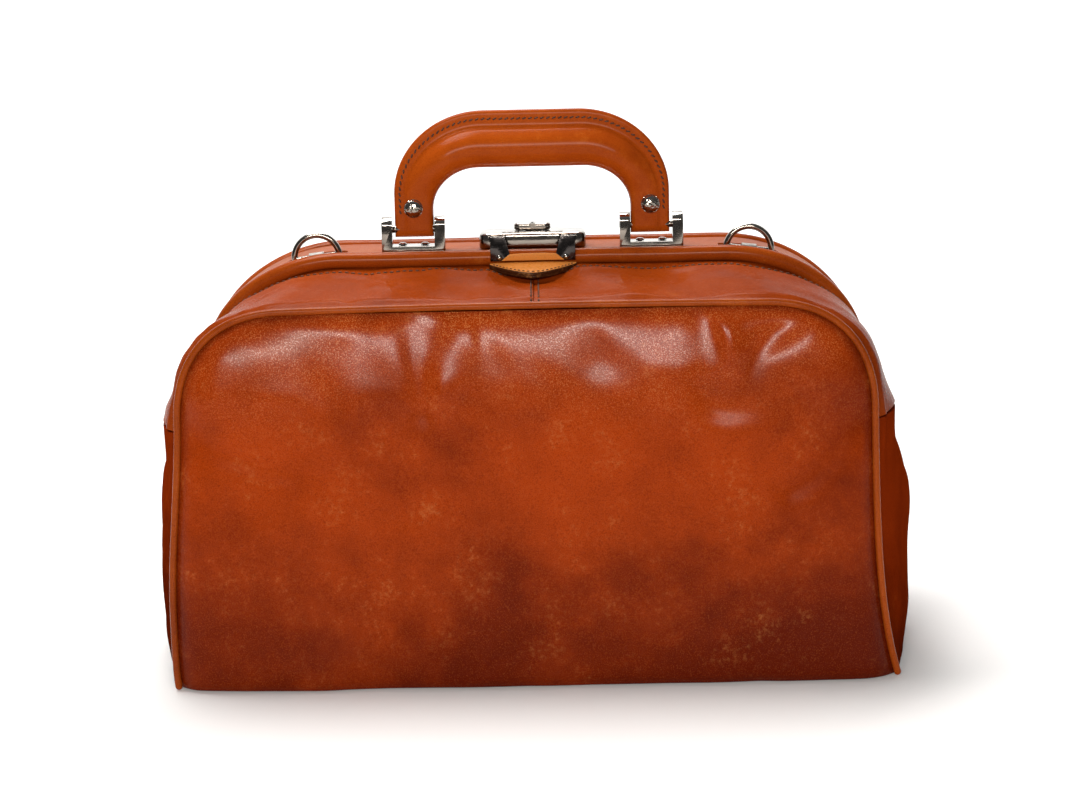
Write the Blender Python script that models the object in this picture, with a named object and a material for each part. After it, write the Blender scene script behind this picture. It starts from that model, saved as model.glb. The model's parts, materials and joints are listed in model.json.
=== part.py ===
"""Doctor bag: leather body, two hinged mouth frames, sliding lock, swinging handle and D-rings.

Metres, +Z up, front of the bag towards -Y. The origin is the centre of the base.
"""
import math

import bmesh
import bpy
import numpy as np
from mathutils import Matrix, Vector

# ---- driving dimensions -------------------------------------------------------------------
GAP = 0.00035                   # clearance between neighbouring pieces
LEATHER = 0.0016                # leather wall of gussets and mouth bands
PANEL_LEATHER = 0.0024          # front, back and bottom leather
PANEL_PLANE = 0.0960            # distance of the front and back piping from the centre plane
PIPING_RADIUS = 0.0018
SIDE_BULGE_WIDTH = 0.2037       # widest half-width of the side gussets
SEAM_HEIGHT = 0.1360            # where side gussets meet the mouth bands

OUTLINE_HALF_TOP = 0.1790       # half-width of the piped outline at its shoulders
OUTLINE_HALF_BASE = 0.1880
OUTLINE_TOP = 0.1990
OUTLINE_SHOULDER = 0.1390
OUTLINE_CORNER_X = 0.0595
OUTLINE_POWER = 2.4             # superellipse power of the rounded shoulders
OUTLINE_CROWN = 0.0008

HINGE_Z = 0.1000                # height of the mouth frames' hinge axis
FRAME_TOP = 0.2150              # centre of the frame tube at the top
FRAME_HALF = 0.1750
FRAME_SHOULDER = 0.1570
FRAME_CORNER_X = 0.0720
FRAME_LEG_END = 0.1340          # where the leather roll ends and bare steel goes on
FRONT_REACH = -0.0220           # front roll's distance from the centre plane at the top
BACK_REACH = 0.0330
ROLL_RADIUS = 0.0043
ROLL_WALL = 0.0015
STEEL_RADIUS = 0.0022
STEEL_END = 0.1160              # lower end of the steel rod, above the hinge eye
EAR_THICKNESS = 0.0018
EAR_RADIUS = 0.0045
PIN_RADIUS = 0.0020
FRONT_EAR_X = 0.1818
BACK_EAR_X = 0.1846

STRIP_TOP = 0.2178              # leather-covered top of the back frame
STRIP_THICKNESS = 0.0050
STRIP_END = 0.1500

BAR_Y = -0.0105                 # handle swing axis
BAR_Z = 0.2300
BAR_RADIUS = 0.0020
BRACKET_X = 0.0640
BRACKET_WIDTH = 0.0340
BRACKET_DEPTH = 0.0140
BRACKET_TOP = 0.2370
POST_WIDTH = 0.0056
BASE_THICKNESS = 0.0030

HANDLE_INNER_X = 0.0530
HANDLE_OUTER_X = 0.0750
HANDLE_INNER_TOP = 0.2624
HANDLE_OUTER_TOP = 0.2927
GRIP_RADIUS = 0.0108
CORE_RADIUS = 0.0046
RIVET_X = 0.0636
RIVET_Z = 0.2415

LOCK_HALF = 0.0287
LOCK_FRONT = -0.0165
LOCK_BACK = 0.0075
LOCK_TOP = 0.2275
LOCK_WALL = 0.0011
LOCK_TRAVEL = 0.0050
KNOB_HALF = 0.0099

TAB_HALF = 0.0230
TAB_LENGTH = 0.0215
TAB_THICKNESS = 0.0032
TAB_PIVOT = (0.0, -0.0283, 0.2116)
TAB_DROOP = math.radians(7.0)

RING_X = 0.1165
RING_Y = -0.0110
RING_Z = 0.2156
RING_RADIUS = 0.0122
RING_WIRE = 0.0017
RING_TILT = math.radians(7.0)

FRAME_PIVOT = (0.0, 0.0, HINGE_Z)
HANDLE_PIVOT = (0.0, BAR_Y, BAR_Z)


# ---- scene and object helpers -------------------------------------------------------------
def clear_scene():
    """Remove every object of the open scene."""
    for obj in list(bpy.data.objects):
        bpy.data.objects.remove(obj, do_unlink=True)


def finish(name, colour, roughness, metallic=0.0):
    """Principled material with one colour, roughness and metallic value."""
    mat = bpy.data.materials.new(name)
    mat.use_nodes = True
    shader = mat.node_tree.nodes["Principled BSDF"]
    shader.inputs["Base Color"].default_value = (*colour, 1.0)
    shader.inputs["Roughness"].default_value = roughness
    shader.inputs["Metallic"].default_value = metallic
    return mat


def piece(name, mesh, colour, roughness, metallic=0.0, pivot=(0.0, 0.0, 0.0)):
    """Link a mesh given in world coordinates as an object whose origin is its pivot."""
    mesh.transform(Matrix.Translation(-Vector(pivot)))
    mesh.shade_smooth()
    mesh.set_sharp_from_angle(angle=math.radians(35.0))
    obj = bpy.data.objects.new(name, mesh)
    obj.location = pivot
    obj.data.materials.append(finish(name, colour, roughness, metallic))
    bpy.context.collection.objects.link(obj)
    return obj


def cutter(name, mesh):
    """A guide body for Boolean modifiers that is not part of the bag."""
    obj = bpy.data.objects.new(name, mesh)
    obj.hide_render = True
    obj.display_type = 'WIRE'
    bpy.context.collection.objects.link(obj)
    return obj


def boolean(obj, tool, operation='DIFFERENCE'):
    """Add an exact Boolean modifier."""
    mod = obj.modifiers.new(operation.lower(), 'BOOLEAN')
    mod.operation = operation
    mod.solver = 'EXACT'
    mod.object = tool


def thicken(obj, thickness, offset=0.0):
    """Turn a sheet into a closed wall of even thickness."""
    mod = obj.modifiers.new("wall", 'SOLIDIFY')
    mod.thickness = thickness
    mod.offset = offset
    mod.use_even_offset = True


def round_edges(obj, width, segments=2):
    """Round the sharp edges of a machined piece."""
    mod = obj.modifiers.new("rounding", 'BEVEL')
    mod.width = width
    mod.segments = segments
    mod.limit_method = 'ANGLE'
    mod.angle_limit = math.radians(50.0)


# ---- mesh helpers -------------------------------------------------------------------------
def mesh_from_bmesh(bm):
    """Finish a bmesh as a mesh whose faces point outwards."""
    bmesh.ops.recalc_face_normals(bm, faces=bm.faces[:])
    mesh = bpy.data.meshes.new("shape")
    bm.to_mesh(mesh)
    bm.free()
    return mesh


def sheet_mesh(grid):
    """Open surface through an array of points with shape (rows, columns, 3)."""
    bm = bmesh.new()
    rows, columns = grid.shape[:2]
    verts = [[bm.verts.new(point) for point in row] for row in grid]
    for i in range(rows - 1):
        for j in range(columns - 1):
            bm.faces.new((verts[i][j], verts[i][j + 1], verts[i + 1][j + 1], verts[i + 1][j]))
    bm.normal_update()
    mesh = bpy.data.meshes.new("sheet")
    bm.to_mesh(mesh)
    bm.free()
    return mesh


def loft_mesh(rings):
    """Closed body through a list of closed rings with equal point counts, with flat end caps."""
    bm = bmesh.new()
    loops = [[bm.verts.new(point) for point in ring] for ring in rings]
    count = len(loops[0])
    for near, far in zip(loops[:-1], loops[1:]):
        for j in range(count):
            k = (j + 1) % count
            bm.faces.new((near[j], near[k], far[k], far[j]))
    bm.faces.new(loops[0])
    bm.faces.new(reversed(loops[-1]))
    return mesh_from_bmesh(bm)


def slab_mesh(outline, low, high, axis=1):
    """Flat outline extruded along a world axis from low to high.

    The outline's two numbers are the coordinates on the other two axes, in X, Y, Z order.
    """
    bm = bmesh.new()
    verts = []
    for a, b in outline:
        point = [a, b]
        point.insert(axis, low)
        verts.append(bm.verts.new(point))
    face = bm.faces.new(verts)
    grown = bmesh.ops.extrude_face_region(bm, geom=[face])
    moved = [item for item in grown["geom"] if isinstance(item, bmesh.types.BMVert)]
    shift = Vector((0.0, 0.0, 0.0))
    shift[axis] = high - low
    bmesh.ops.translate(bm, verts=moved, vec=shift)
    return mesh_from_bmesh(bm)


def box_mesh(*boxes):
    """One mesh holding an axis-aligned box for each (low corner, high corner) pair."""
    bm = bmesh.new()
    for low, high in boxes:
        low, high = Vector(low), Vector(high)
        made = bmesh.ops.create_cube(bm, size=1.0)
        bmesh.ops.scale(bm, verts=made["verts"], vec=high - low)
        bmesh.ops.translate(bm, verts=made["verts"], vec=(low + high) / 2)
    return mesh_from_bmesh(bm)


def turned_mesh(profile, centres, axis, sides=16):
    """Turned bodies: a (distance along axis, radius) profile closed on its axis, at each centre."""
    turn = Vector((0.0, 0.0, 1.0)).rotation_difference(Vector(axis)).to_matrix().to_4x4()
    bm = bmesh.new()
    for centre in centres:
        start = [bm.verts.new((radius, 0.0, along)) for along, radius in profile]
        edges = [bm.edges.new(pair) for pair in zip(start[:-1], start[1:])]
        spun = bmesh.ops.spin(bm, geom=start + edges, cent=(0, 0, 0), axis=(0, 0, 1),
                              angle=2 * math.pi, steps=sides, use_duplicate=False)
        fresh = [vert for vert in bm.verts if not vert.tag]
        bmesh.ops.remove_doubles(bm, verts=fresh, dist=1e-6)
        fresh = [vert for vert in bm.verts if not vert.tag]
        bmesh.ops.transform(bm, verts=fresh, matrix=Matrix.Translation(centre) @ turn)
        for vert in fresh:
            vert.tag = True
        del spun
    return mesh_from_bmesh(bm)


def tube_mesh(path, radius, resolution=3, closed=False, capped=True):
    """Round tube along a path, made by a bevelled curve."""
    curve = bpy.data.curves.new("path", 'CURVE')
    curve.dimensions = '3D'
    curve.bevel_depth = radius
    curve.bevel_resolution = resolution
    curve.use_fill_caps = capped
    spline = curve.splines.new('POLY')
    spline.points.add(len(path) - 1)
    for point, place in zip(spline.points, path):
        point.co = (*place, 1.0)
    spline.use_cyclic_u = closed
    guide = bpy.data.objects.new("path", curve)
    bpy.context.collection.objects.link(guide)
    mesh = bpy.data.meshes.new_from_object(guide.evaluated_get(bpy.context.evaluated_depsgraph_get()))
    bpy.data.objects.remove(guide, do_unlink=True)
    bm = bmesh.new()
    bm.from_mesh(mesh)
    bmesh.ops.remove_doubles(bm, verts=bm.verts[:], dist=1e-6)
    if capped:
        return mesh_from_bmesh(bm)
    bm.to_mesh(mesh)
    bm.free()
    return mesh


def rounded_outline(low, high, radius, steps=4):
    """Rectangle with quarter-circle corners."""
    points = []
    corners = ((high[0], high[1], 0), (low[0], high[1], 90), (low[0], low[1], 180), (high[0], low[1], 270))
    for x, y, start in corners:
        centre_x = x - math.copysign(radius, x - (low[0] + high[0]) / 2)
        centre_y = y - math.copysign(radius, y - (low[1] + high[1]) / 2)
        for k in range(steps + 1):
            angle = math.radians(start + 90 * k / steps)
            points.append((centre_x + radius * math.cos(angle), centre_y + radius * math.sin(angle)))
    return points


# ---- shape functions ----------------------------------------------------------------------
def smooth(value):
    """Smooth step from 0 at value 0 to 1 at value 1."""
    value = np.clip(value, 0.0, 1.0)
    return value * value * (3.0 - 2.0 * value)


def mirrored(half):
    """Whole arch from its right half, which runs from the top centre down to the right foot."""
    left = half[:0:-1] * np.array([-1.0, 1.0])
    return np.vstack([left, half])


def shoulder_arc(centre_x, centre_z, reach_x, reach_z, power, steps):
    """Superellipse quarter from its top to its side."""
    angle = np.linspace(0.0, math.pi / 2, steps)
    x = centre_x + reach_x * np.sin(angle) ** (2.0 / power)
    z = centre_z + reach_z * np.clip(np.cos(angle), 0.0, 1.0) ** (2.0 / power)
    return np.column_stack([x, z])


def body_outline_half(foot, inset=0.0):
    """Right half (x, z) of the piped outline of the front and back panels, down to a foot height."""
    flat = OUTLINE_HALF_TOP - OUTLINE_CORNER_X
    x = np.linspace(0.0, flat, 4)[:-1]
    crown = OUTLINE_CROWN * (1.0 - (x / flat) ** 2)
    top = np.column_stack([x, OUTLINE_TOP - inset + crown])
    arc = shoulder_arc(flat, OUTLINE_SHOULDER, OUTLINE_CORNER_X - inset,
                       OUTLINE_TOP - OUTLINE_SHOULDER - inset, OUTLINE_POWER, 9)
    z = np.linspace(OUTLINE_SHOULDER, foot, 4 if foot < 0.1 else 2)[1:]
    side = np.column_stack([side_half_width(z) - inset, z])
    return np.vstack([top, arc, side])


def side_half_width(z):
    """Half-width of the straight, slightly flared sides below the shoulders."""
    return OUTLINE_HALF_BASE + (OUTLINE_HALF_TOP - OUTLINE_HALF_BASE) * z / OUTLINE_SHOULDER


def frame_outline_half(foot, ear_x):
    """Right half (x, z) of a mouth frame: flat top, elliptical corner, leg that flares to its hinge."""
    flat = FRAME_HALF - FRAME_CORNER_X
    x = np.linspace(0.0, flat, 4)[:-1]
    top = np.column_stack([x, np.full_like(x, FRAME_TOP)])
    arc = shoulder_arc(flat, FRAME_SHOULDER, FRAME_CORNER_X, FRAME_TOP - FRAME_SHOULDER, 2.0, 10)
    z = np.linspace(FRAME_SHOULDER, foot, 4)[1:]
    drop = (FRAME_SHOULDER - z) / (FRAME_SHOULDER - STEEL_END)
    leg = np.column_stack([FRAME_HALF + (ear_x - FRAME_HALF) * drop ** 2, z])
    return np.vstack([top, arc, leg])


def frame_path(reach, foot, ear_x):
    """Whole frame path in space, in a plane that leans from the hinge axis to its reach at the top."""
    outline = mirrored(frame_outline_half(foot, ear_x))
    lean = reach * (outline[:, 1] - HINGE_Z) / (FRAME_TOP - HINGE_Z)
    return np.column_stack([outline[:, 0], lean, outline[:, 1]])


def outline_normals(outline):
    """Unit normals of an arch outline, pointing away from its inside."""
    along = np.gradient(outline, axis=0)
    along /= np.linalg.norm(along, axis=1)[:, None]
    return np.column_stack([-along[:, 1], along[:, 0]])


def side_bulge(z):
    """Half-width of the side gusset on the centre plane."""
    lower = 0.0037 * smooth(z / 0.030)
    upper = 0.0082 * (np.clip(z - 0.080, 0.0, None) / 0.055) ** 2
    return SIDE_BULGE_WIDTH - 0.0037 + lower - upper


# ---- leather body -------------------------------------------------------------------------
def build_panels():
    """Front and back panels, slightly crowned, just inside their piping."""
    inset = PIPING_RADIUS + GAP
    floor = PANEL_LEATHER + GAP
    outline = body_outline_half(floor, inset)[3:]
    across = np.linspace(-1.0, 1.0, 9)
    x = outline[:, 0][:, None] * across[None, :]
    z = np.repeat(outline[:, 1][:, None], len(across), axis=1)
    rise = np.clip((z - floor) / (OUTLINE_TOP - inset - floor), 0.0, 1.0)
    crown = 0.0025 * (1.0 - across[None, :] ** 2) * 4.0 * rise * (1.0 - rise)
    for name, side in (("front_panel", -1.0), ("back_panel", 1.0)):
        y = side * (PANEL_PLANE - PANEL_LEATHER / 2 + crown)
        panel = piece(name, sheet_mesh(np.stack([x, y, z], axis=2)), (0.31, 0.036, 0.004), 0.3)
        thicken(panel, PANEL_LEATHER)


def build_piping():
    """Round leather piping along the sides and top of each panel."""
    outline = mirrored(body_outline_half(PANEL_LEATHER + GAP))
    for name, side in (("front_piping", -1.0), ("back_piping", 1.0)):
        path = np.column_stack([outline[:, 0], np.full(len(outline), side * PANEL_PLANE), outline[:, 1]])
        piece(name, tube_mesh(path, PIPING_RADIUS, 2), (0.3, 0.035, 0.004), 0.32)


def build_base():
    """Bottom leather under the whole footprint, and the stiffening board on it."""
    y = np.linspace(-PANEL_PLANE - 0.001, PANEL_PLANE + 0.001, 11)
    spread = side_bulge(0.0) - OUTLINE_HALF_BASE
    half = OUTLINE_HALF_BASE + spread * (1.0 - np.abs(y / (PANEL_PLANE + 0.001)) ** 2.2)
    outline = [*zip(half, y), *zip(-half[::-1], y[::-1])]
    piece("bottom_panel", slab_mesh(outline, 0.0, PANEL_LEATHER, axis=2), (0.16, 0.02, 0.003), 0.4)
    board_low = PANEL_LEATHER + GAP
    board = rounded_outline((-0.1760, -0.0900), (0.1760, 0.0900), 0.008)
    piece("bottom_board", slab_mesh(board, board_low, board_low + 0.0025, axis=2), (0.2, 0.13, 0.08), 0.8)


def build_side_gussets():
    """Side leather that bulges between the panels and dips around the frame legs at its top."""
    edge_y = PANEL_PLANE - PIPING_RADIUS - 0.0009
    y = np.linspace(-1.0, 1.0, 15)[None, :]
    z = np.linspace(PANEL_LEATHER + GAP, SEAM_HEIGHT, 8)[:, None]
    edge = side_half_width(z)
    bulge = (side_bulge(z) - edge) * (1.0 - np.abs(y) ** 2.2)
    dip = 0.010 * smooth((z - 0.095) / 0.040) * np.exp(-(y * edge_y / 0.018) ** 2)
    x = edge + bulge - dip - LEATHER / 2
    for name, side in (("side_gusset_left", -1.0), ("side_gusset_right", 1.0)):
        grid = np.stack([side * x, y * edge_y + 0.0 * x, z + 0.0 * x], axis=2)
        gusset = piece(name, sheet_mesh(grid), (0.25, 0.028, 0.003), 0.35)
        thicken(gusset, LEATHER)


def build_mouth_bands():
    """Soft leather between the piping and the mouth frames, in a left and a right half each."""
    foot = SEAM_HEIGHT + LEATHER / 2 + GAP
    low = body_outline_half(foot)
    frame = frame_outline_half(foot, FRONT_EAR_X)
    distance = np.linspace(0.0, 1.0, 17)
    low = resampled(low, distance)
    high = resampled(frame, distance)
    normal = outline_normals(high)
    across = np.linspace(0.0, 1.0, 6)[None, :]
    swell = 0.0005 + 0.0165 * np.clip((OUTLINE_TOP - low[:, 1]) / (OUTLINE_TOP - SEAM_HEIGHT), 0.0, 1.0)
    arch = np.sin(math.pi * across) ** 0.9 * swell[:, None]
    root = ROLL_RADIUS + LEATHER / 2 + 2.5 * GAP
    for reach, side, end in ((FRONT_REACH, -1.0, "front"), (BACK_REACH, 1.0, "back")):
        high_y = reach * (high[:, 1] - HINGE_Z) / (FRAME_TOP - HINGE_Z) + side * 0.45 * root
        low_y = np.full(len(low), side * (PANEL_PLANE - PIPING_RADIUS - 0.0012))
        high_xz = high - normal * 0.95 * root
        x = low[:, 0][:, None] * (1 - across) + high_xz[:, 0][:, None] * across + normal[:, 0][:, None] * arch
        z = low[:, 1][:, None] * (1 - across) + high_xz[:, 1][:, None] * across + normal[:, 1][:, None] * arch
        y = low_y[:, None] * (1 - across) + high_y[:, None] * across
        x[0, :] = GAP / 2
        for half, sign in (("left", -1.0), ("right", 1.0)):
            band = piece(f"{end}_band_{half}", sheet_mesh(np.stack([sign * x, y, z], axis=2)),
                         (0.33, 0.045, 0.006), 0.3)
            thicken(band, LEATHER)


def resampled(line, fraction):
    """Points at even fractions of a polyline's length."""
    length = np.concatenate([[0.0], np.cumsum(np.linalg.norm(np.diff(line, axis=0), axis=1))])
    return np.column_stack([np.interp(fraction * length[-1], length, line[:, k]) for k in range(2)])


def build_lining():
    """Open cloth pouch inside the body, low at the sides and higher at the front and back."""
    low, wall = 0.0056, 0.0010
    half_x, half_y, side_top, tongue_top, tongue_x = 0.1765, 0.0912, 0.0900, 0.1500, 0.1350
    pouch = piece("inner_lining", box_mesh(((-half_x, -half_y, low), (half_x, half_y, tongue_top))),
                  (0.28, 0.2, 0.12), 0.85)
    hollow = box_mesh(((-half_x + wall, -half_y + wall, low + wall), (half_x - wall, half_y - wall, 0.2)))
    boolean(pouch, cutter("lining_hollow", hollow))
    reach = half_x + 0.01
    corners = box_mesh(((-reach, -0.1, side_top), (-tongue_x, 0.1, 0.2)),
                       ((tongue_x, -0.1, side_top), (reach, 0.1, 0.2)))
    boolean(pouch, cutter("lining_side_cut", corners))


# ---- hinges and frames --------------------------------------------------------------------
def build_hinges():
    """Hinge pin through both frame eyes on each side, and the steel plate that anchors it."""
    plate_in, plate_out = 0.1955, 0.1970
    head = ((0.1776, 0.0), (0.1776, 0.0034), (0.1792, 0.0034), (0.1792, PIN_RADIUS),
            (0.1973, PIN_RADIUS), (0.1973, 0.0))
    for name, side in (("left", -1.0), ("right", 1.0)):
        pin = turned_mesh(head, [FRAME_PIVOT], (side, 0.0, 0.0))
        piece(f"frame_hinge_pin_{name}", pin, (0.55, 0.54, 0.52), 0.3, 1.0)
        outline = rounded_outline((-0.0100, 0.0850), (0.0100, 0.1048), 0.004)
        low, high = sorted((side * plate_in, side * plate_out))
        plate = piece(f"hinge_anchor_{name}", slab_mesh(outline, low, high, axis=0),
                      (0.5, 0.49, 0.47), 0.4, 1.0)
        bore = turned_mesh(((0.19, 0.0), (0.19, PIN_RADIUS + GAP), (0.21, PIN_RADIUS + GAP), (0.21, 0.0)),
                           [FRAME_PIVOT], (side, 0.0, 0.0))
        boolean(plate, cutter(f"anchor_bore_{name}", bore))


def ear_outline(reach):
    """Eye plate (y, z) around the hinge axis that tapers up to the rod's lower end."""
    lean = math.atan2(reach, FRAME_TOP - HINGE_Z)
    top = Vector((math.sin(lean), math.cos(lean))) * (STEEL_END + 0.0020 - HINGE_Z)
    points = []
    for k in range(13):
        angle = math.radians(180 + 15 * k)
        points.append((EAR_RADIUS * math.cos(angle), HINGE_Z + EAR_RADIUS * math.sin(angle)))
    for k in range(7):
        angle = math.radians(30 * k)
        points.append((top.x + 0.0026 * math.cos(angle), HINGE_Z + top.y + 0.0026 * math.sin(angle)))
    return points


def build_frame_steel(name, reach, ear_x):
    """Steel rod of one mouth frame with a flat hinge eye at each end."""
    rod = piece(name, tube_mesh(frame_path(reach, STEEL_END, ear_x), STEEL_RADIUS, 1),
                (0.5, 0.49, 0.47), 0.4, 1.0, FRAME_PIVOT)
    bore_radius = PIN_RADIUS + GAP
    for side in (-1.0, 1.0):
        low, high = sorted((side * (ear_x - EAR_THICKNESS / 2), side * (ear_x + EAR_THICKNESS / 2)))
        boolean(rod, cutter(f"{name}_ear", slab_mesh(ear_outline(reach), low, high, axis=0)), 'UNION')
    bore = turned_mesh(((-0.2, 0.0), (-0.2, bore_radius), (0.2, bore_radius), (0.2, 0.0)),
                       [FRAME_PIVOT], (1.0, 0.0, 0.0))
    boolean(rod, cutter(f"{name}_bore", bore))


def build_roll(name, reach, ear_x):
    """Leather rolled around one frame rod, as a tube open at both ends."""
    path = frame_path(reach, FRAME_LEG_END, ear_x)
    roll = piece(name, tube_mesh(path, ROLL_RADIUS, 2, capped=False), (0.28, 0.03, 0.003), 0.28,
                 pivot=FRAME_PIVOT)
    thicken(roll, ROLL_WALL, -1.0)
    return roll


def build_top_strip():
    """Leather-covered top of the back frame, between the two rolls, tapering down the legs."""
    outline = mirrored(frame_outline_half(STRIP_END, FRONT_EAR_X))
    keep = outline[:, 1] >= STRIP_END - 1e-6
    outline = outline[keep]
    normal = outline_normals(outline)
    lean = (outline[:, 1] - HINGE_Z) / (FRAME_TOP - HINGE_Z)
    margin = ROLL_RADIUS + GAP
    front = FRONT_REACH * lean + margin
    back = BACK_REACH * lean - margin
    rise = STRIP_TOP - FRAME_TOP
    rings = []
    for centre, up, near, far in zip(outline, normal, front, back):
        middle = (near + far) / 2
        section = ((near, rise), (middle, rise + 0.0002), (far, rise),
                   (far, rise - STRIP_THICKNESS), (middle, rise - STRIP_THICKNESS),
                   (near, rise - STRIP_THICKNESS))
        rings.append([(centre[0] + up[0] * out, y, centre[1] + up[1] * out) for y, out in section])
    strip = piece("frame_top_strip", loft_mesh(rings), (0.36, 0.12, 0.045), 0.35, pivot=FRAME_PIVOT)
    for side in (-1.0, 1.0):
        boolean(strip, cutter("ring_recess", ring_placed(recess_mesh(), side)))
    bore = ((STRIP_TOP - 0.0030, 0.0), (STRIP_TOP - 0.0030, 0.0014), (0.2190, 0.0014), (0.2190, 0.0))
    places = [(x, BAR_Y, 0.0) for x in screw_places()]
    boolean(strip, cutter("screw_holes", turned_mesh(bore, places, (0, 0, 1), 10)))


# ---- striker and pull tab -----------------------------------------------------------------
def build_striker():
    """Steel striker on the front frame: forked plate whose arms hook back into the lock case."""
    front, back = FRONT_REACH - ROLL_RADIUS - GAP - 0.0010, FRONT_REACH - ROLL_RADIUS - GAP
    half, arm_in, notch_x, low, notch_z, top = 0.0227, 0.0149, 0.0122, 0.2137, 0.2170, 0.2268
    outline = [(-half, low), (half, low), (half, top), (arm_in, top), (notch_x, notch_z),
               (-notch_x, notch_z), (-arm_in, top), (-half, top)]
    striker = piece("striker_plate", slab_mesh(outline, front, back), (0.62, 0.6, 0.57), 0.14, 1.0,
                    FRAME_PIVOT)
    hook_low, hook_high, hook_end = 0.2247, 0.2259, -0.0116
    hooks = []
    for side in (-1.0, 1.0):
        x = sorted((side * (arm_in + 0.0004), side * (half - 0.0004)))
        hooks.append(((x[0], front + 0.0003, hook_low), (x[1], hook_end, hook_high)))
    boolean(striker, cutter("striker_hooks", box_mesh(*hooks)), 'UNION')
    lips = []
    for side in (-1.0, 1.0):
        x = sorted((side * 0.0168, side * 0.0204))
        lips.append(((x[0], hook_end - 0.0013, 0.2212), (x[1], hook_end - 0.0001, hook_low + 0.0005)))
    boolean(striker, cutter("striker_lips", box_mesh(*lips)), 'UNION')
    places = [(side * 0.0178, 0.0, 0.2155) for side in (-1.0, 1.0)]
    bore = ((front - 0.002, 0.0), (front - 0.002, 0.00095), (-0.0240, 0.00095), (-0.0240, 0.0))
    holes = cutter("striker_rivet_holes", turned_mesh(bore, places, (0, 1, 0), 8))
    boolean(striker, holes)
    shank = ((front - GAP - 0.0007, 0.0), (front - GAP - 0.0005, 0.0011), (front - GAP, 0.0014),
             (front - GAP, 0.0006), (-0.0247, 0.0006), (-0.0247, 0.0))
    for name, place in zip(("left", "right"), places):
        piece(f"striker_rivet_{name}", turned_mesh(shank, [place], (0, 1, 0), 8), (0.62, 0.6, 0.57), 0.2,
              1.0, FRAME_PIVOT)
    return holes


def build_pull_tab():
    """Two-layer leather tab under the striker, with a curved free edge, drooping a little."""
    steps = np.linspace(-1.0, 1.0, 15)
    edge = TAB_LENGTH * (1.0 - np.abs(steps) ** 1.7 * 0.88)
    outline = [(x * TAB_HALF, -y) for x, y in zip(steps, edge)] + [(TAB_HALF, 0.0), (-TAB_HALF, 0.0)]
    mesh = slab_mesh(outline, -TAB_THICKNESS / 2, TAB_THICKNESS / 2, axis=2)
    mesh.transform(Matrix.Translation(TAB_PIVOT) @ Matrix.Rotation(TAB_DROOP, 4, 'X'))
    piece("pull_tab", mesh, (0.55, 0.19, 0.036), 0.4, pivot=TAB_PIVOT)


# ---- lock ---------------------------------------------------------------------------------
def build_lock():
    """Lock case on the back frame, its base plate, slide bolt, knob and return spring."""
    centre_y = (LOCK_FRONT + LOCK_BACK) / 2
    case_low = STRIP_TOP + GAP
    outer = rounded_outline((-LOCK_HALF, LOCK_FRONT), (LOCK_HALF, LOCK_BACK), 0.0050)
    inner = rounded_outline((-LOCK_HALF + LOCK_WALL, LOCK_FRONT + LOCK_WALL),
                            (LOCK_HALF - LOCK_WALL, LOCK_BACK - LOCK_WALL), 0.0039)
    case = piece("lock_case", slab_mesh(outer, case_low, LOCK_TOP, axis=2), (0.55, 0.53, 0.5), 0.18, 1.0,
                 FRAME_PIVOT)
    round_edges(case, 0.0009)
    boolean(case, cutter("case_hollow", slab_mesh(inner, case_low - 0.002, LOCK_TOP - LOCK_WALL, axis=2)))
    slots = [((side * 0.0188 - 0.0046, LOCK_FRONT - 0.002, 0.2226),
              (side * 0.0188 + 0.0046, LOCK_FRONT + 0.002, LOCK_TOP - LOCK_WALL - 0.0001))
             for side in (-1.0, 1.0)]
    stem_slot = ((-0.0040, centre_y - 0.0024, 0.2250), (0.0040 + LOCK_TRAVEL, centre_y + 0.0024, 0.2300))
    boolean(case, cutter("case_slots", box_mesh(*slots, stem_slot)))
    inside = rounded_outline((-LOCK_HALF + LOCK_WALL + GAP, LOCK_FRONT + LOCK_WALL + GAP),
                             (LOCK_HALF - LOCK_WALL - GAP, LOCK_BACK - LOCK_WALL - GAP), 0.0036)
    piece("lock_base", slab_mesh(inside, case_low, case_low + 0.0006, axis=2), (0.5, 0.49, 0.47), 0.4, 1.0,
          FRAME_PIVOT)
    build_bolt(case_low + 0.0006 + GAP, centre_y)
    build_knob(centre_y)


def build_bolt(low, centre_y):
    """Slide bolt: a rail with two teeth that block the striker's lips, and an arm under the knob."""
    rail_y = (-0.0146, -0.0133)
    high = low + 0.0016
    bolt = piece("lock_bolt", box_mesh(((-0.0210, rail_y[0], low), (0.0208, rail_y[1], high))),
                 (0.5, 0.49, 0.47), 0.35, 1.0, (0.0, centre_y, high))
    teeth = [((x, rail_y[0], low + 0.0001), (x + 0.0044, rail_y[1], 0.2238)) for x in (-0.0206, 0.0162)]
    arm = ((-0.0050, rail_y[1] - 0.0005, low + 0.0001), (0.0050, centre_y + 0.0045, high - 0.0001))
    boolean(bolt, cutter("bolt_teeth", box_mesh(*teeth)), 'UNION')
    boolean(bolt, cutter("bolt_arm", box_mesh(arm)), 'UNION')
    turns, wire, coil = 5, 0.00035, 0.0016
    spring_start, spring_end = 0.0057, 0.0200
    angle = np.linspace(0.0, 2 * math.pi * turns, 8 * turns + 1)
    path = np.column_stack([np.linspace(spring_start, spring_end, len(angle)),
                            centre_y + coil * np.cos(angle),
                            low + coil + wire + coil * np.sin(angle)])
    piece("lock_spring", tube_mesh(path, wire, 0), (0.5, 0.49, 0.47), 0.35, 1.0, FRAME_PIVOT)


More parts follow.
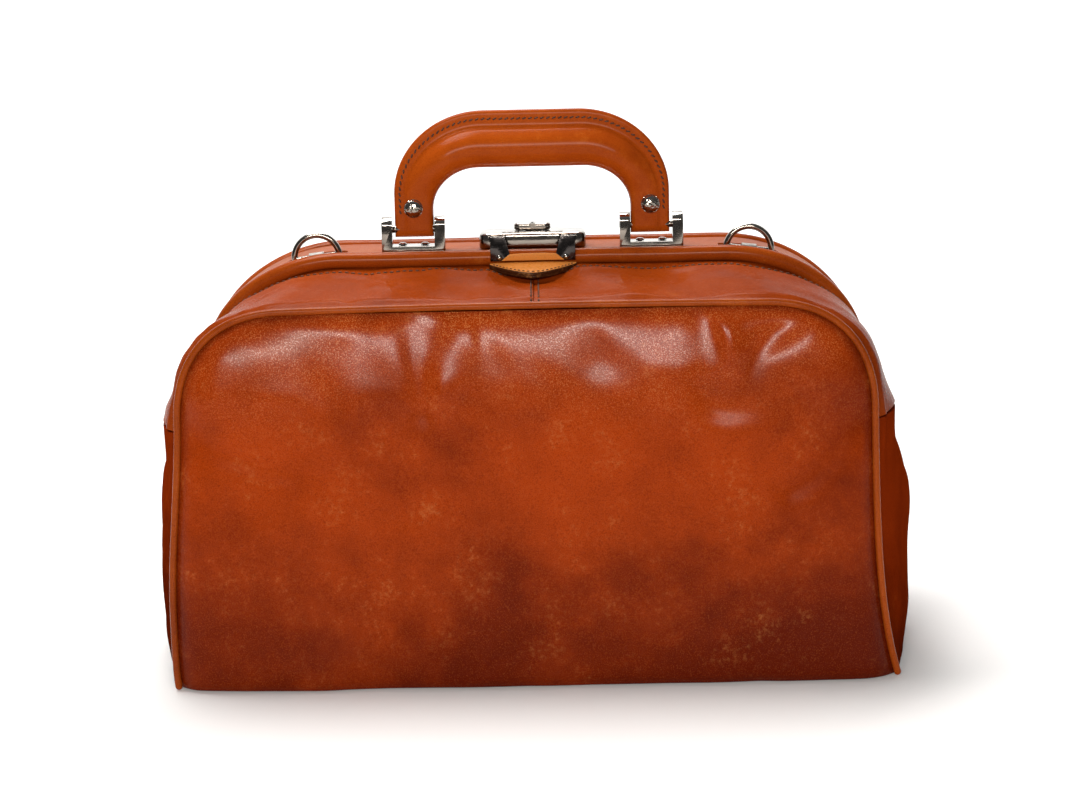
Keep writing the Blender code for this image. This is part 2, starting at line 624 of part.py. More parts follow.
def build_knob(centre_y):
    """Rounded slide knob on a stem through the top of the case, with a keyhole in its front."""
    low, high = LOCK_TOP + GAP, 0.2316
    depth = 0.0055
    outline = rounded_outline((-KNOB_HALF, centre_y - depth), (KNOB_HALF, centre_y + depth), 0.0032)
    knob = piece("lock_knob", slab_mesh(outline, low, high, axis=2), (0.6, 0.58, 0.55), 0.16, 1.0,
                 (0.0, centre_y, low))
    round_edges(knob, 0.0010)
    stem = ((-0.0036, centre_y - 0.0020, 0.2212), (0.0036, centre_y + 0.0020, low + 0.0010))
    boolean(knob, cutter("knob_stem", box_mesh(stem)), 'UNION')
    hole = ((high - 0.0015, 0.0), (high - 0.0015, 0.0011), (high + 0.001, 0.0011), (high + 0.001, 0.0))
    key = turned_mesh(hole, [(0.0, centre_y, 0.0)], (0, 0, 1), 12)
    boolean(knob, cutter("key_round", key))


# ---- handle -------------------------------------------------------------------------------
def build_brackets():
    """Forked bracket, cross-bar and screws for each end of the handle."""
    low = STRIP_TOP + GAP
    depth = BRACKET_DEPTH / 2
    for name, side in (("left", -1.0), ("right", 1.0)):
        centre = side * BRACKET_X
        foot = box_mesh(((centre - BRACKET_WIDTH / 2, BAR_Y - depth, low),
                         (centre + BRACKET_WIDTH / 2, BAR_Y + depth, low + BASE_THICKNESS)))
        bracket = piece(f"handle_bracket_{name}", foot, (0.58, 0.56, 0.52), 0.2, 1.0, FRAME_PIVOT)
        outline = [(BAR_Y - depth, low + 0.0005), (BAR_Y + depth, low + 0.0005)]
        for k in range(9):
            angle = math.radians(180 * k / 8)
            outline.append((BAR_Y + depth * math.cos(angle),
                            BRACKET_TOP - 0.0045 + 0.0045 * math.sin(angle)))
        for shift in (-1.0, 1.0):
            outer = centre + shift * BRACKET_WIDTH / 2
            start, end = sorted((outer, outer - shift * POST_WIDTH))
            post = cutter(f"post_{name}", slab_mesh(outline, start, end, axis=0))
            boolean(bracket, post, 'UNION')
        bore = ((centre - 0.02, 0.0), (centre - 0.02, BAR_RADIUS + GAP), (centre + 0.02, BAR_RADIUS + GAP),
                (centre + 0.02, 0.0))
        boolean(bracket, cutter(f"bar_bore_{name}", turned_mesh(bore, [(0, BAR_Y, BAR_Z)], (1, 0, 0), 12)))
        hole = ((low - 0.002, 0.0), (low - 0.002, 0.0014), (low + 0.006, 0.0014), (low + 0.006, 0.0))
        places = [(x, BAR_Y, 0.0) for x in screw_places() if x * side > 0]
        boolean(bracket, cutter(f"base_holes_{name}", turned_mesh(hole, places, (0, 0, 1), 10)))
        half = BRACKET_WIDTH / 2
        bar = ((centre - half + 0.0004, 0.0), (centre - half + 0.0004, BAR_RADIUS),
               (centre + half - 0.0004, BAR_RADIUS), (centre + half - 0.0004, 0.0))
        piece(f"handle_bar_{name}", turned_mesh(bar, [(0, BAR_Y, BAR_Z)], (1, 0, 0), 12),
              (0.58, 0.56, 0.52), 0.22, 1.0, FRAME_PIVOT)
    head = low + BASE_THICKNESS + GAP
    screw = ((STRIP_TOP - 0.0027, 0.0), (STRIP_TOP - 0.0027, 0.0010), (head, 0.0010), (head, 0.0023),
             (head + 0.0006, 0.0023), (head + 0.0012, 0.0014), (head + 0.0012, 0.0))
    for number, x in enumerate(screw_places(), start=1):
        piece(f"bracket_screw_{number}", turned_mesh(screw, [(x, BAR_Y, 0.0)], (0, 0, 1), 10),
              (0.58, 0.56, 0.52), 0.25, 1.0, FRAME_PIVOT)


def screw_places():
    """The four screws' distances from the centre plane of the bag."""
    return [side * (BRACKET_X + shift) for side in (-1.0, 1.0) for shift in (-0.0060, 0.0060)]


def handle_edges():
    """Inner and outer edge (x, z) of the handle from its right foot to its top centre."""
    inner_flat, outer_flat = 0.0280, 0.0260
    inner_foot, outer_foot = 0.2404, 0.2487
    rise = np.linspace(0.0, 1.0, 4)[:-1]
    inner_leg = np.column_stack([np.full(3, HANDLE_INNER_X), BAR_Z + rise * (inner_foot - BAR_Z)])
    outer_leg = np.column_stack([np.full(3, HANDLE_OUTER_X), BAR_Z + rise * (outer_foot - BAR_Z)])
    inner_arc = shoulder_arc(inner_flat, inner_foot, HANDLE_INNER_X - inner_flat,
                             HANDLE_INNER_TOP - inner_foot, 2.0, 10)[::-1]
    outer_arc = shoulder_arc(outer_flat, outer_foot, HANDLE_OUTER_X - outer_flat,
                             HANDLE_OUTER_TOP - outer_foot, 2.0, 10)[::-1]
    along = np.linspace(1.0, 0.0, 4)[1:, None]
    inner_top = np.array([0.0, HANDLE_INNER_TOP]) + along * np.array([inner_flat, 0.0])
    outer_top = np.array([0.0, HANDLE_OUTER_TOP]) + along * np.array([outer_flat, 0.0])
    return np.vstack([inner_leg, inner_arc, inner_top]), np.vstack([outer_leg, outer_arc, outer_top])


def handle_stations():
    """Inner edge, outer edge and fullness (0 flat leg, 1 round grip) from left foot to right foot."""
    inner, outer = handle_edges()
    fullness = smooth((np.arange(len(inner)) - 3.0) / 6.0)
    flip = np.array([-1.0, 1.0])
    inner = np.vstack([inner[:-1] * flip, inner[::-1]])
    outer = np.vstack([outer[:-1] * flip, outer[::-1]])
    return inner, outer, np.concatenate([fullness[:-1], fullness[::-1]])


def build_handle():
    """Folded-leather handle around a cord core, its stitched flange outwards, and its rivets."""
    grip = np.array([(0.0, 0.0), (1.6, 5.6), (6.0, 9.7), (10.8, 10.8), (15.6, 9.7), (19.9, 5.9),
                     (22.4, 3.0), (29.2, 2.6), (30.3, 0.8)]) * 0.001
    leg = np.array([(0.0, 0.0), (0.8, 3.2), (3.0, 4.6), (8.0, 5.0), (13.0, 4.6), (15.5, 3.6),
                    (18.0, 3.0), (21.0, 2.7), (22.0, 0.8)]) * 0.001
    inner, outer, fullness = handle_stations()
    rings = []
    for near, far, full in zip(inner, outer, fullness):
        half = leg * (1 - full) + grip * full
        width = np.linalg.norm(far - near)
        half[:, 0] *= width / half[-1, 0]
        slim = 0.82 + 0.18 * smooth((near[1] - BAR_Z) / 0.012)
        profile = [(u, h * slim) for u, h in half] + [(u, -h * slim) for u, h in half[:0:-1]]
        out = (far - near) / width
        rings.append([(near[0] + out[0] * u, BAR_Y + h, near[1] + out[1] * u) for u, h in profile])
    leather = piece("handle_leather", loft_mesh(rings), (0.4, 0.08, 0.006), 0.3, pivot=HANDLE_PIVOT)
    loop = ((HANDLE_INNER_X, 0.0), (HANDLE_INNER_X, 0.0043), (HANDLE_OUTER_X, 0.0043),
            (HANDLE_OUTER_X, 0.0))
    bore = ((0.03, 0.0), (0.03, BAR_RADIUS + GAP), (0.09, BAR_RADIUS + GAP), (0.09, 0.0))
    axis_point = [(0.0, BAR_Y, BAR_Z)]
    for side in (-1.0, 1.0):
        boolean(leather, cutter("loop", turned_mesh(loop, axis_point, (side, 0, 0), 16)), 'UNION')
    for side in (-1.0, 1.0):
        boolean(leather, cutter("loop_bore", turned_mesh(bore, axis_point, (side, 0, 0), 12)))
    path = core_path(inner, outer)
    boolean(leather, cutter("core_tunnel", tube_mesh(path, CORE_RADIUS + 2 * GAP, 2)))
    boolean(leather, cutter("flange_slit", slit_mesh(path, inner, outer)))
    piece("handle_core", tube_mesh(path[1:-1], CORE_RADIUS, 2), (0.3, 0.22, 0.14), 0.8, pivot=HANDLE_PIVOT)
    build_handle_rivets(leather)


def core_path(inner, outer):
    """Centre line of the cord core, one grip radius in from the handle's inner edge."""
    first = 6
    near, far = inner[first:-first], outer[first:-first]
    out = (far - near) / np.linalg.norm(far - near, axis=1)[:, None]
    line = near + out * GRIP_RADIUS
    return np.column_stack([line[:, 0], np.full(len(line), BAR_Y), line[:, 1]])


def slit_mesh(path, inner, outer):
    """Thin fan from the core out past the flange, where the folded leather's two edges meet."""
    first = 6
    far = outer[first:-first] + (outer[first:-first] - inner[first:-first]) * 0.1
    inward = path[:, (0, 2)]
    outline = [*map(tuple, inward), *map(tuple, far[::-1])]
    return slab_mesh(outline, BAR_Y - 0.0002, BAR_Y + 0.0002)


def build_handle_rivets(leather):
    """Domed rivet through each leg of the handle."""
    face = 0.0058
    profile = [(-face - 0.0024, 0.0)]
    for k in range(1, 5):
        angle = math.radians(90 * k / 4)
        profile.append((-face - 0.0024 * math.cos(angle), 0.0048 * math.sin(angle)))
    profile += [(-face, 0.0016), (face, 0.0016), (face, 0.0040), (face + 0.0009, 0.0034),
                (face + 0.0009, 0.0)]
    hole = ((-0.02, 0.0), (-0.02, 0.0016 + GAP), (0.02, 0.0016 + GAP), (0.02, 0.0))
    for name, side in (("left", -1.0), ("right", 1.0)):
        place = [(side * RIVET_X, BAR_Y, RIVET_Z)]
        boolean(leather, cutter(f"rivet_hole_{name}", turned_mesh(hole, place, (0, 1, 0), 10)))
        piece(f"handle_rivet_{name}", turned_mesh(profile, place, (0, 1, 0), 12),
              (0.58, 0.56, 0.52), 0.22, 1.0, HANDLE_PIVOT)


# ---- D-rings ------------------------------------------------------------------------------
def ring_placed(mesh, side):
    """Move a mesh from the ring's own frame to its place on the strip, tilted with the frame."""
    place = Matrix.Translation((side * RING_X, RING_Y, RING_Z))
    mesh.transform(place @ Matrix.Rotation(side * RING_TILT, 4, 'Y'))
    return mesh


def recess_mesh():
    """Recess in the strip for the ring's straight bar."""
    return box_mesh(((-0.0165, -0.0042, -0.0022), (0.0165, 0.0082, 0.0100)))


def build_rings():
    """Wire D-ring in a steel keeper, one at each end of the top strip."""
    angle = np.linspace(0.0, math.pi, 13)
    arc = np.column_stack([RING_RADIUS * np.cos(angle), np.zeros(13), RING_RADIUS * np.sin(angle)])
    inside, outside = RING_WIRE + GAP, RING_WIRE + GAP + 0.0008
    turn = [math.radians(180 * k / 8) for k in range(9)]
    clip = [(outside * math.cos(a), outside * math.sin(a)) for a in turn]
    clip += [(inside * math.cos(a), inside * math.sin(a)) for a in reversed(turn)]
    for name, side in (("left", -1.0), ("right", 1.0)):
        pivot = (side * RING_X, RING_Y, RING_Z)
        ring = ring_placed(tube_mesh(arc, RING_WIRE, 2, closed=True), side)
        piece(f"d_ring_{name}", ring, (0.55, 0.53, 0.5), 0.2, 1.0, pivot)
        keeper = ring_placed(slab_mesh(clip, -0.0040, 0.0040, axis=0), side)
        piece(f"ring_keeper_{name}", keeper, (0.5, 0.49, 0.47), 0.3, 1.0, FRAME_PIVOT)


def build_bag():
    """Build every piece of the bag."""
    build_panels()
    build_piping()
    build_base()
    build_side_gussets()
    build_mouth_bands()
    build_lining()
    build_hinges()
    build_frame_steel("front_frame_steel", FRONT_REACH, FRONT_EAR_X)
    build_frame_steel("back_frame_steel", BACK_REACH, BACK_EAR_X)
    front_roll = build_roll("front_frame_roll", FRONT_REACH, FRONT_EAR_X)
    build_roll("back_frame_roll", BACK_REACH, BACK_EAR_X)
    build_top_strip()
    boolean(front_roll, build_striker())
    build_pull_tab()
    build_lock()
    build_brackets()
    build_handle()
    build_rings()


clear_scene()
build_bag()
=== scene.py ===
import json
import logging
import math
from dataclasses import dataclass
from enum import Enum
from typing import Any, Iterable, Sequence

import bmesh
import bpy
import numpy as np
from mathutils import Matrix, Vector

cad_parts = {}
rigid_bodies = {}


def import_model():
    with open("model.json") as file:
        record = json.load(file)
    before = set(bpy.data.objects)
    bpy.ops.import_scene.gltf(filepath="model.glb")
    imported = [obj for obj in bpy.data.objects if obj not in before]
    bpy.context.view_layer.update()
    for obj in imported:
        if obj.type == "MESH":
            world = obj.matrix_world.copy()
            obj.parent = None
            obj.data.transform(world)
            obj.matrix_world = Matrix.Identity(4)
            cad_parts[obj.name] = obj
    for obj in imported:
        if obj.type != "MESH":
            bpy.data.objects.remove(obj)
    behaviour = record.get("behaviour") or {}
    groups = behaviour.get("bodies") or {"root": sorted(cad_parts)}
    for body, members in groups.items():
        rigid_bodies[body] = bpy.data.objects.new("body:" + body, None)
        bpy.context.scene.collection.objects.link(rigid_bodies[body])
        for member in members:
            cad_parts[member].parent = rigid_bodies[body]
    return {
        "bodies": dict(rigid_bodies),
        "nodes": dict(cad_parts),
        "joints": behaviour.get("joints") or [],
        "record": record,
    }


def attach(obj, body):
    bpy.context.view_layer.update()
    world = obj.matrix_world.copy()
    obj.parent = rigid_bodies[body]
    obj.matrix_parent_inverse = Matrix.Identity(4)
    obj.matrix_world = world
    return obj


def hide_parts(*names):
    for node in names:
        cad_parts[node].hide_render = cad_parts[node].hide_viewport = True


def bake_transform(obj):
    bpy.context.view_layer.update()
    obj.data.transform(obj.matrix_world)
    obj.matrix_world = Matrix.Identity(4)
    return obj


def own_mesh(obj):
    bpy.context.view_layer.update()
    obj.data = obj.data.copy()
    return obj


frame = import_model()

LOG = logging.getLogger("doctor_bag")
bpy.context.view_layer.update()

Array = np.ndarray
Point = tuple[float, float, float]
Colour = tuple[float, float, float]

BAG_MIDDLE: Point = (0.0, 0.0, 0.10)
SEAM_WIDTH = 0.006
FLAT_POINTS = 39


class Side(Enum):
    """Left or right of the bag, seen from the front."""

    LEFT = -1.0
    RIGHT = 1.0


class End(Enum):
    """Front or back of the bag."""

    FRONT = -1.0
    BACK = 1.0


# ---- arithmetic on arrays -----------------------------------------------------------------
def smooth(value: Array | float) -> Array:
    """Smooth step: 0 below 0, 1 above 1, and 3v^2 - 2v^3 between."""
    value = np.clip(value, 0.0, 1.0)
    return value * value * (3.0 - 2.0 * value)


def unit(vectors: Array) -> Array:
    """Vectors divided by their own length, along the last axis."""
    length = np.linalg.norm(vectors, axis=-1, keepdims=True)
    return vectors / np.maximum(length, 1e-12)


def hump(distance: Array, width: float) -> Array:
    """Bell curve of a distance: 1 at 0, falling as exp(-(distance / width)^2)."""
    return np.exp(-(distance / width) ** 2)


def ripple(a: Array, b: Array, wavelength: float, seed: int) -> Array:
    """Uneven soft waviness between about -1 and 1.

    The sum of nine sine waves whose directions, phases and lengths are drawn from the seed.

    Args:
        a: First coordinate, in metres.
        b: Second coordinate, in metres.
        wavelength: Middle length of the waves, in metres.
        seed: Seed of the draw.

    Returns:
        The waviness at each point.
    """
    draw = np.random.default_rng(seed)
    angles = draw.uniform(0.0, math.pi, 9)
    phases = draw.uniform(0.0, 2.0 * math.pi, 9)
    stretches = draw.uniform(0.6, 1.6, 9)
    total = np.zeros(np.broadcast(a, b).shape)
    for angle, phase, stretch in zip(angles, phases, stretches):
        along = a * math.cos(angle) + b * math.sin(angle)
        total = total + np.sin(2.0 * math.pi * along / (wavelength * stretch) + phase)
    return total / 3.5


@dataclass(frozen=True)
class Fold:
    """A soft ridge or dent of a panel: its height, its two ends as (x, z) and its half-width."""

    height: float
    start: tuple[float, float]
    end: tuple[float, float]
    width: float


def crease(x: Array, z: Array, fold: Fold) -> Array:
    """Soft line of a fold: a bell curve of the distance to the segment between its ends.

    Args:
        x: Horizontal coordinate of each point.
        z: Height of each point.
        fold: The fold.

    Returns:
        1 on the line, falling to 0 beside it.
    """
    run = np.array(fold.end) - np.array(fold.start)
    across, upward = x - fold.start[0], z - fold.start[1]
    along = np.clip((across * run[0] + upward * run[1]) / float(run @ run), 0.0, 1.0)
    return hump(np.hypot(across - along * run[0], upward - along * run[1]), fold.width)


def arc_lengths(line: Array) -> Array:
    """Distance of each point of a polyline from its first point, along it."""
    steps = np.linalg.norm(np.diff(line, axis=0), axis=1)
    return np.concatenate([[0.0], np.cumsum(steps)])


def resample(line: Array, share: Array) -> Array:
    """Points of a polyline at the given shares of its length.

    Args:
        line: Points with shape (n, k).
        share: Values from 0 to 1.

    Returns:
        Points with shape (len(share), k).
    """
    length = arc_lengths(line)
    columns = [np.interp(share * length[-1], length, line[:, k]) for k in range(line.shape[1])]
    return np.column_stack(columns)


# ---- meshes -------------------------------------------------------------------------------
def grid_faces(rows: int, columns: int, close_rows: bool = False, close_columns: bool = False) -> Array:
    """Quads of a grid of points numbered row by row.

    Args:
        rows: Number of rows.
        columns: Number of columns.
        close_rows: Join the last row to the first.
        close_columns: Join the last column to the first.

    Returns:
        Vertex numbers with shape (faces, 4).
    """
    i = np.arange(rows if close_rows else rows - 1)[:, None]
    j = np.arange(columns if close_columns else columns - 1)[None, :]
    i2, j2 = (i + 1) % rows, (j + 1) % columns
    quads = [i * columns + j, i * columns + j2, i2 * columns + j2, i2 * columns + j]
    return np.stack(np.broadcast_arrays(*quads), axis=-1).reshape(-1, 4)


def lay(name: str, points: Array, faces: Iterable[Sequence[int]], edge: Array | None = None,
        sharp: float = 40.0) -> bpy.types.Object:
    """Make a closed body from points and faces, its faces outwards, smooth except at sharp edges.

    Args:
        name: The piece's name.
        points: Vertices with shape (n, 3), in metres.
        faces: Vertex numbers of each face.
        edge: Optional value for each vertex, kept as the attribute "edge".
        sharp: Angle in degrees above which an edge stays sharp.

    Returns:
        The new object, linked to the scene.
    """
    mesh = bpy.data.meshes.new(name)
    mesh.from_pydata(points.tolist(), [], [list(map(int, face)) for face in faces])
    body = bmesh.new()
    body.from_mesh(mesh)
    bmesh.ops.recalc_face_normals(body, faces=body.faces[:])
    body.to_mesh(mesh)
    body.free()
    if edge is not None:
        values = mesh.attributes.new("edge", 'FLOAT', 'POINT')
        values.data.foreach_set("value", np.asarray(edge, np.float32).ravel())
    mesh.shade_smooth()
    mesh.set_sharp_from_angle(angle=math.radians(sharp))
    piece = bpy.data.objects.new(name, mesh)
    bpy.context.scene.collection.objects.link(piece)
    return piece


def grid_normals(grid: Array, inside: Point) -> Array:
    """Unit normals of a surface grid, turned away from a point inside it."""
    normal = unit(np.cross(np.gradient(grid, axis=0), np.gradient(grid, axis=1)))
    away = np.sum(normal * (grid - np.array(inside)))
    return normal if away >= 0 else -normal


def shell(name: str, grid: Array, thickness: float, inside: Point = BAG_MIDDLE,
          edge: Array | None = None) -> bpy.types.Object:
    """Closed sheet of leather: the grid is its outer face, and a second grid lies under it.

    The under face is the outer one moved inwards along its normals, and the rim joins the two.

    Args:
        name: The piece's name.
        grid: Outer surface with shape (rows, columns, 3).
        thickness: Thickness of the sheet.
        inside: A point on the inner side.
        edge: Optional value for each grid point, kept as the attribute "edge".

    Returns:
        The new object.
    """
    rows, columns = grid.shape[:2]
    normal = grid_normals(grid, inside)
    count = rows * columns
    points = np.vstack([grid.reshape(-1, 3), (grid - normal * thickness).reshape(-1, 3)])
    top = grid_faces(rows, columns)
    numbers = np.arange(count).reshape(rows, columns)
    ring = np.concatenate([numbers[0, :], numbers[1:, -1], numbers[-1, -2::-1], numbers[-2:0:-1, 0]])
    after = np.roll(ring, -1)
    rim = np.stack([ring, after, after + count, ring + count], axis=1)
    faces = np.vstack([top, top[:, ::-1] + count, rim])
    values = None if edge is None else np.concatenate([edge.ravel(), edge.ravel()])
    return lay(name, points, faces, values)


def path_frames(path: Array, reference: Point, closed: bool = False) -> tuple[Array, Array, Array]:
    """Tangent, normal and binormal along a path, from a fixed reference direction.

    Args:
        path: Points with shape (n, 3).
        reference: Direction that the binormal is nearest to.
        closed: Whether the path's last point is followed by its first.

    Returns:
        Three arrays of unit vectors with shape (n, 3).
    """
    if closed:
        tangent = unit(np.roll(path, -1, axis=0) - np.roll(path, 1, axis=0))
    else:
        tangent = unit(np.gradient(path, axis=0))
    side = unit(np.cross(np.broadcast_to(np.array(reference, float), path.shape), tangent))
    return tangent, side, np.cross(tangent, side)


def sweep(name: str, path: Array, section: Array, reference: Point, closed: bool = False,
          edge: Array | None = None, sharp: float = 40.0) -> bpy.types.Object:
    """Body swept along a path: each ring is path + u * side + v * binormal for the section's (u, v).

    Args:
        name: The piece's name.
        path: Points with shape (n, 3).
        section: Closed outline, anticlockwise, with shape (m, 2), or (n, m, 2) where it changes.
        reference: Direction that the section's second axis is nearest to.
        closed: Whether the body closes on itself, with no end caps.
        edge: Optional value for each ring point, kept as the attribute "edge".
        sharp: Angle in degrees above which an edge stays sharp.

    Returns:
        The new object.
    """
    tangent, side, upward = path_frames(path, reference, closed)
    section = np.broadcast_to(section, (len(path), *section.shape[-2:]))
    rings = (path[:, None, :] + section[..., :1] * side[:, None, :] + section[..., 1:] * upward[:, None, :])
    rows, columns = rings.shape[:2]
    faces = grid_faces(rows, columns, closed, True)[:, ::-1].tolist()
    if not closed:
        faces.append(list(range(columns)))
        faces.append([(rows - 1) * columns + k for k in range(columns)][::-1])
    return lay(name, rings.reshape(-1, 3), faces, edge, sharp)


def circle(radius: float, sides: int) -> Array:
    """Anticlockwise circle of points."""
    angle = np.linspace(0.0, 2.0 * math.pi, sides, endpoint=False)
    return radius * np.column_stack([np.cos(angle), np.sin(angle)])


def tube(name: str, path: Array, radius: float, sides: int, reference: Point,
         closed: bool = False) -> bpy.types.Object:
    """Round tube along a path, with its open ends drawn in to small domes.

    Args:
        name: The piece's name.
        path: Points with shape (n, 3).
        radius: Radius of the tube.
        sides: Points round the tube.
        reference: A direction square to the path.
        closed: Whether the tube closes on itself.

    Returns:
        The new object.
    """
    if closed:
        return sweep(name, path, circle(radius, sides), reference, True)
    turn = np.radians([82.0, 60.0, 35.0, 12.0])
    first, last = unit(path[0] - path[1]), unit(path[-1] - path[-2])
    start = path[0] + first * (radius * np.sin(turn))[:, None]
    end = path[-1] + last * (radius * np.sin(turn[::-1]))[:, None]
    whole = np.vstack([start, path, end])
    scale = np.concatenate([np.cos(turn), np.ones(len(path)), np.cos(turn[::-1])])
    return sweep(name, whole, scale[:, None, None] * circle(radius, sides), reference)


def turned(name: str, profile: Array, centre: Point, axis: Point, sides: int = 32) -> bpy.types.Object:
    """Turned body: each profile point (along, radius) makes a ring round the axis.

    Args:
        name: The piece's name.
        profile: Points with shape (n, 2), from one end of the axis to the other.
        centre: Point on the axis where along is 0.
        axis: Direction of the axis.
        sides: Points round each ring.

    Returns:
        The new object.
    """
    direction = unit(np.array(axis, float))
    helper = np.array([0.0, 0.0, 1.0]) if abs(direction[2]) < 0.9 else np.array([1.0, 0.0, 0.0])
    across = unit(np.cross(helper, direction))
    upward = np.cross(direction, across)
    ring = circle(1.0, sides)
    spokes = ring[:, :1] * across + ring[:, 1:] * upward
    rings = (np.array(centre) + profile[:, :1, None] * direction
             + np.maximum(profile[:, 1], 2e-5)[:, None, None] * spokes[None])
    rows = len(profile)
    faces = grid_faces(rows, sides, False, True).tolist()
    faces.append(list(range(sides))[::-1])
    faces.append([(rows - 1) * sides + k for k in range(sides)])
    return lay(name, rings.reshape(-1, 3), faces)


def prism(name: str, outline: Array, low: float, high: float, axis: int) -> bpy.types.Object:
    """Flat outline carried from low to high along one world axis.

    Args:
        name: The piece's name.
        outline: Points with shape (n, 2), on the other two axes in X, Y, Z order.
        low: Where the body starts.
        high: Where it ends.
        axis: 0, 1 or 2.

    Returns:
        The new object, its faces outwards.
    """
    x, y = outline[:, 0], outline[:, 1]
    area = float(np.sum(x * np.roll(y, -1) - np.roll(x, -1) * y))
    turned_round = (area < 0) != (axis == 1)
    outline = outline[::-1] if turned_round else outline
    count = len(outline)
    near = np.insert(outline, axis, low, axis=1)
    far = np.insert(outline, axis, high, axis=1)
    k = np.arange(count)
    walls = np.stack([k, (k + 1) % count, (k + 1) % count + count, k + count], axis=1).tolist()
    faces = walls + [list(range(count))[::-1], [count + n for n in range(count)]]
    return lay(name, np.vstack([near, far]), faces)


def rounded_rectangle(low: tuple[float, float], high: tuple[float, float], radius: float,
                      steps: int = 8) -> Array:
    """Anticlockwise rectangle with quarter-circle corners, as points."""
    turn = np.linspace(0.0, math.pi / 2, steps)
    quarters = []
    corners = ((high[0], high[1], 0), (low[0], high[1], 1), (low[0], low[1], 2), (high[0], low[1], 3))
    for x, y, number in corners:
        centre = np.array([x - math.copysign(radius, x - (low[0] + high[0]) / 2),
                           y - math.copysign(radius, y - (low[1] + high[1]) / 2)])
        angle = turn + number * math.pi / 2
        quarters.append(centre + radius * np.column_stack([np.cos(angle), np.sin(angle)]))
    return np.vstack(quarters)


def joined(piece: bpy.types.Object, *others: bpy.types.Object, operation: str = 'UNION',
           rounding: float = 0.0) -> bpy.types.Object:
    """Unite or cut a piece with others, round its edges and keep the result as its mesh.

    Args:
        piece: The piece that stays.
        others: Bodies that are used up.
        operation: UNION or DIFFERENCE.
        rounding: Width of the rounded edges, or 0.

    Returns:
        The same piece.
    """
    for other in others:
        step = piece.modifiers.new("join", 'BOOLEAN')
        step.operation = operation
        step.solver = 'EXACT'
        step.object = other
    if rounding > 0:
        bevel = piece.modifiers.new("rounding", 'BEVEL')
        bevel.width = rounding
        bevel.segments = 3
        bevel.limit_method = 'ANGLE'
        bevel.angle_limit = math.radians(35.0)
    graph = bpy.context.evaluated_depsgraph_get()
    graph.update()
    mesh = bpy.data.meshes.new_from_object(piece.evaluated_get(graph), depsgraph=graph)
    piece.modifiers.clear()
    piece.data = mesh
    mesh.shade_smooth()
    mesh.set_sharp_from_angle(angle=math.radians(32.0))
    for other in others:
        bpy.data.objects.remove(other, do_unlink=True)
    return piece


def stitches(name: str, places: Array, along: Array, out: Array, length: float,
             radius: float) -> bpy.types.Object:
    """Row of thread stitches, each a short hump whose ends dive into the leather.

    Every stitch is five rings of six points: its radius and its height above the leather follow
    fixed profiles along its length.

    Args:
        name: The piece's name.
        places: Middle of each stitch, with shape (n, 3).
        along: Direction of each stitch.
        out: Direction away from the leather at each stitch.
        length: Length of a stitch.
        radius: Radius of the thread.

    Returns:
        The new object.
    """
    station = np.array([-0.5, -0.34, 0.0, 0.34, 0.5]) * length
    girth = np.array([0.35, 0.9, 1.0, 0.9, 0.35]) * radius
    height = np.array([-0.9, 0.15, 0.55, 0.15, -0.9]) * radius
    along, out = unit(along), unit(out)
    across = unit(np.cross(out, along))
    out = np.cross(along, across)
    ring = circle(1.0, 6)
    sideways = (girth[:, None] * ring[None, :, 0])[None, ..., None]
    upward = (height[:, None] + girth[:, None] * ring[None, :, 1])[None, ..., None]
    offset = (station[None, :, None, None] * along[:, None, None, :]
              + sideways * across[:, None, None, :] + upward * out[:, None, None, :])
    points = (places[:, None, None, :] + offset).reshape(-1, 3)
    quads = grid_faces(5, 6, False, True)[:, ::-1]
    caps = np.array([[0, 1, 2, 3], [0, 3, 4, 5], [24, 27, 26, 25], [24, 29, 28, 27]])
    one = np.vstack([quads, caps])
    faces = (one[None] + 30 * np.arange(len(places))[:, None, None]).reshape(-1, 4)
    return lay(name, points, faces, sharp=180.0)


def curve_through(points: Array, count: int) -> Array:
    """Smooth curve through points: a Catmull-Rom spline sampled evenly between them.

    Args:
        points: Points with shape (n, k).
        count: Number of samples.

    Returns:
        Samples with shape (count, k).
    """
    last = len(points) - 1
    place = np.linspace(0.0, last, count)
    number = np.minimum(place.astype(int), last - 1)
    t = (place - number)[:, None]
    before, start = points[np.maximum(number - 1, 0)], points[number]
    end, after = points[number + 1], points[np.minimum(number + 2, last)]
    bend = (2.0 * before - 5.0 * start + 4.0 * end - after) * t * t
    swing = (3.0 * start - before - 3.0 * end + after) * t * t * t
    return 0.5 * (2.0 * start + (end - before) * t + bend + swing)


def loft(name: str, rings: Array, edge: Array | None = None, sharp: float = 40.0) -> bpy.types.Object:
    """Closed body through rings of points with shape (rings, points, 3), with an end cap each."""
    rows, columns = rings.shape[:2]
    faces = grid_faces(rows, columns, False, True).tolist()
    faces.append(list(range(columns)))
    faces.append([(rows - 1) * columns + k for k in range(columns)])
    return lay(name, rings.reshape(-1, 3), faces, edge, sharp)


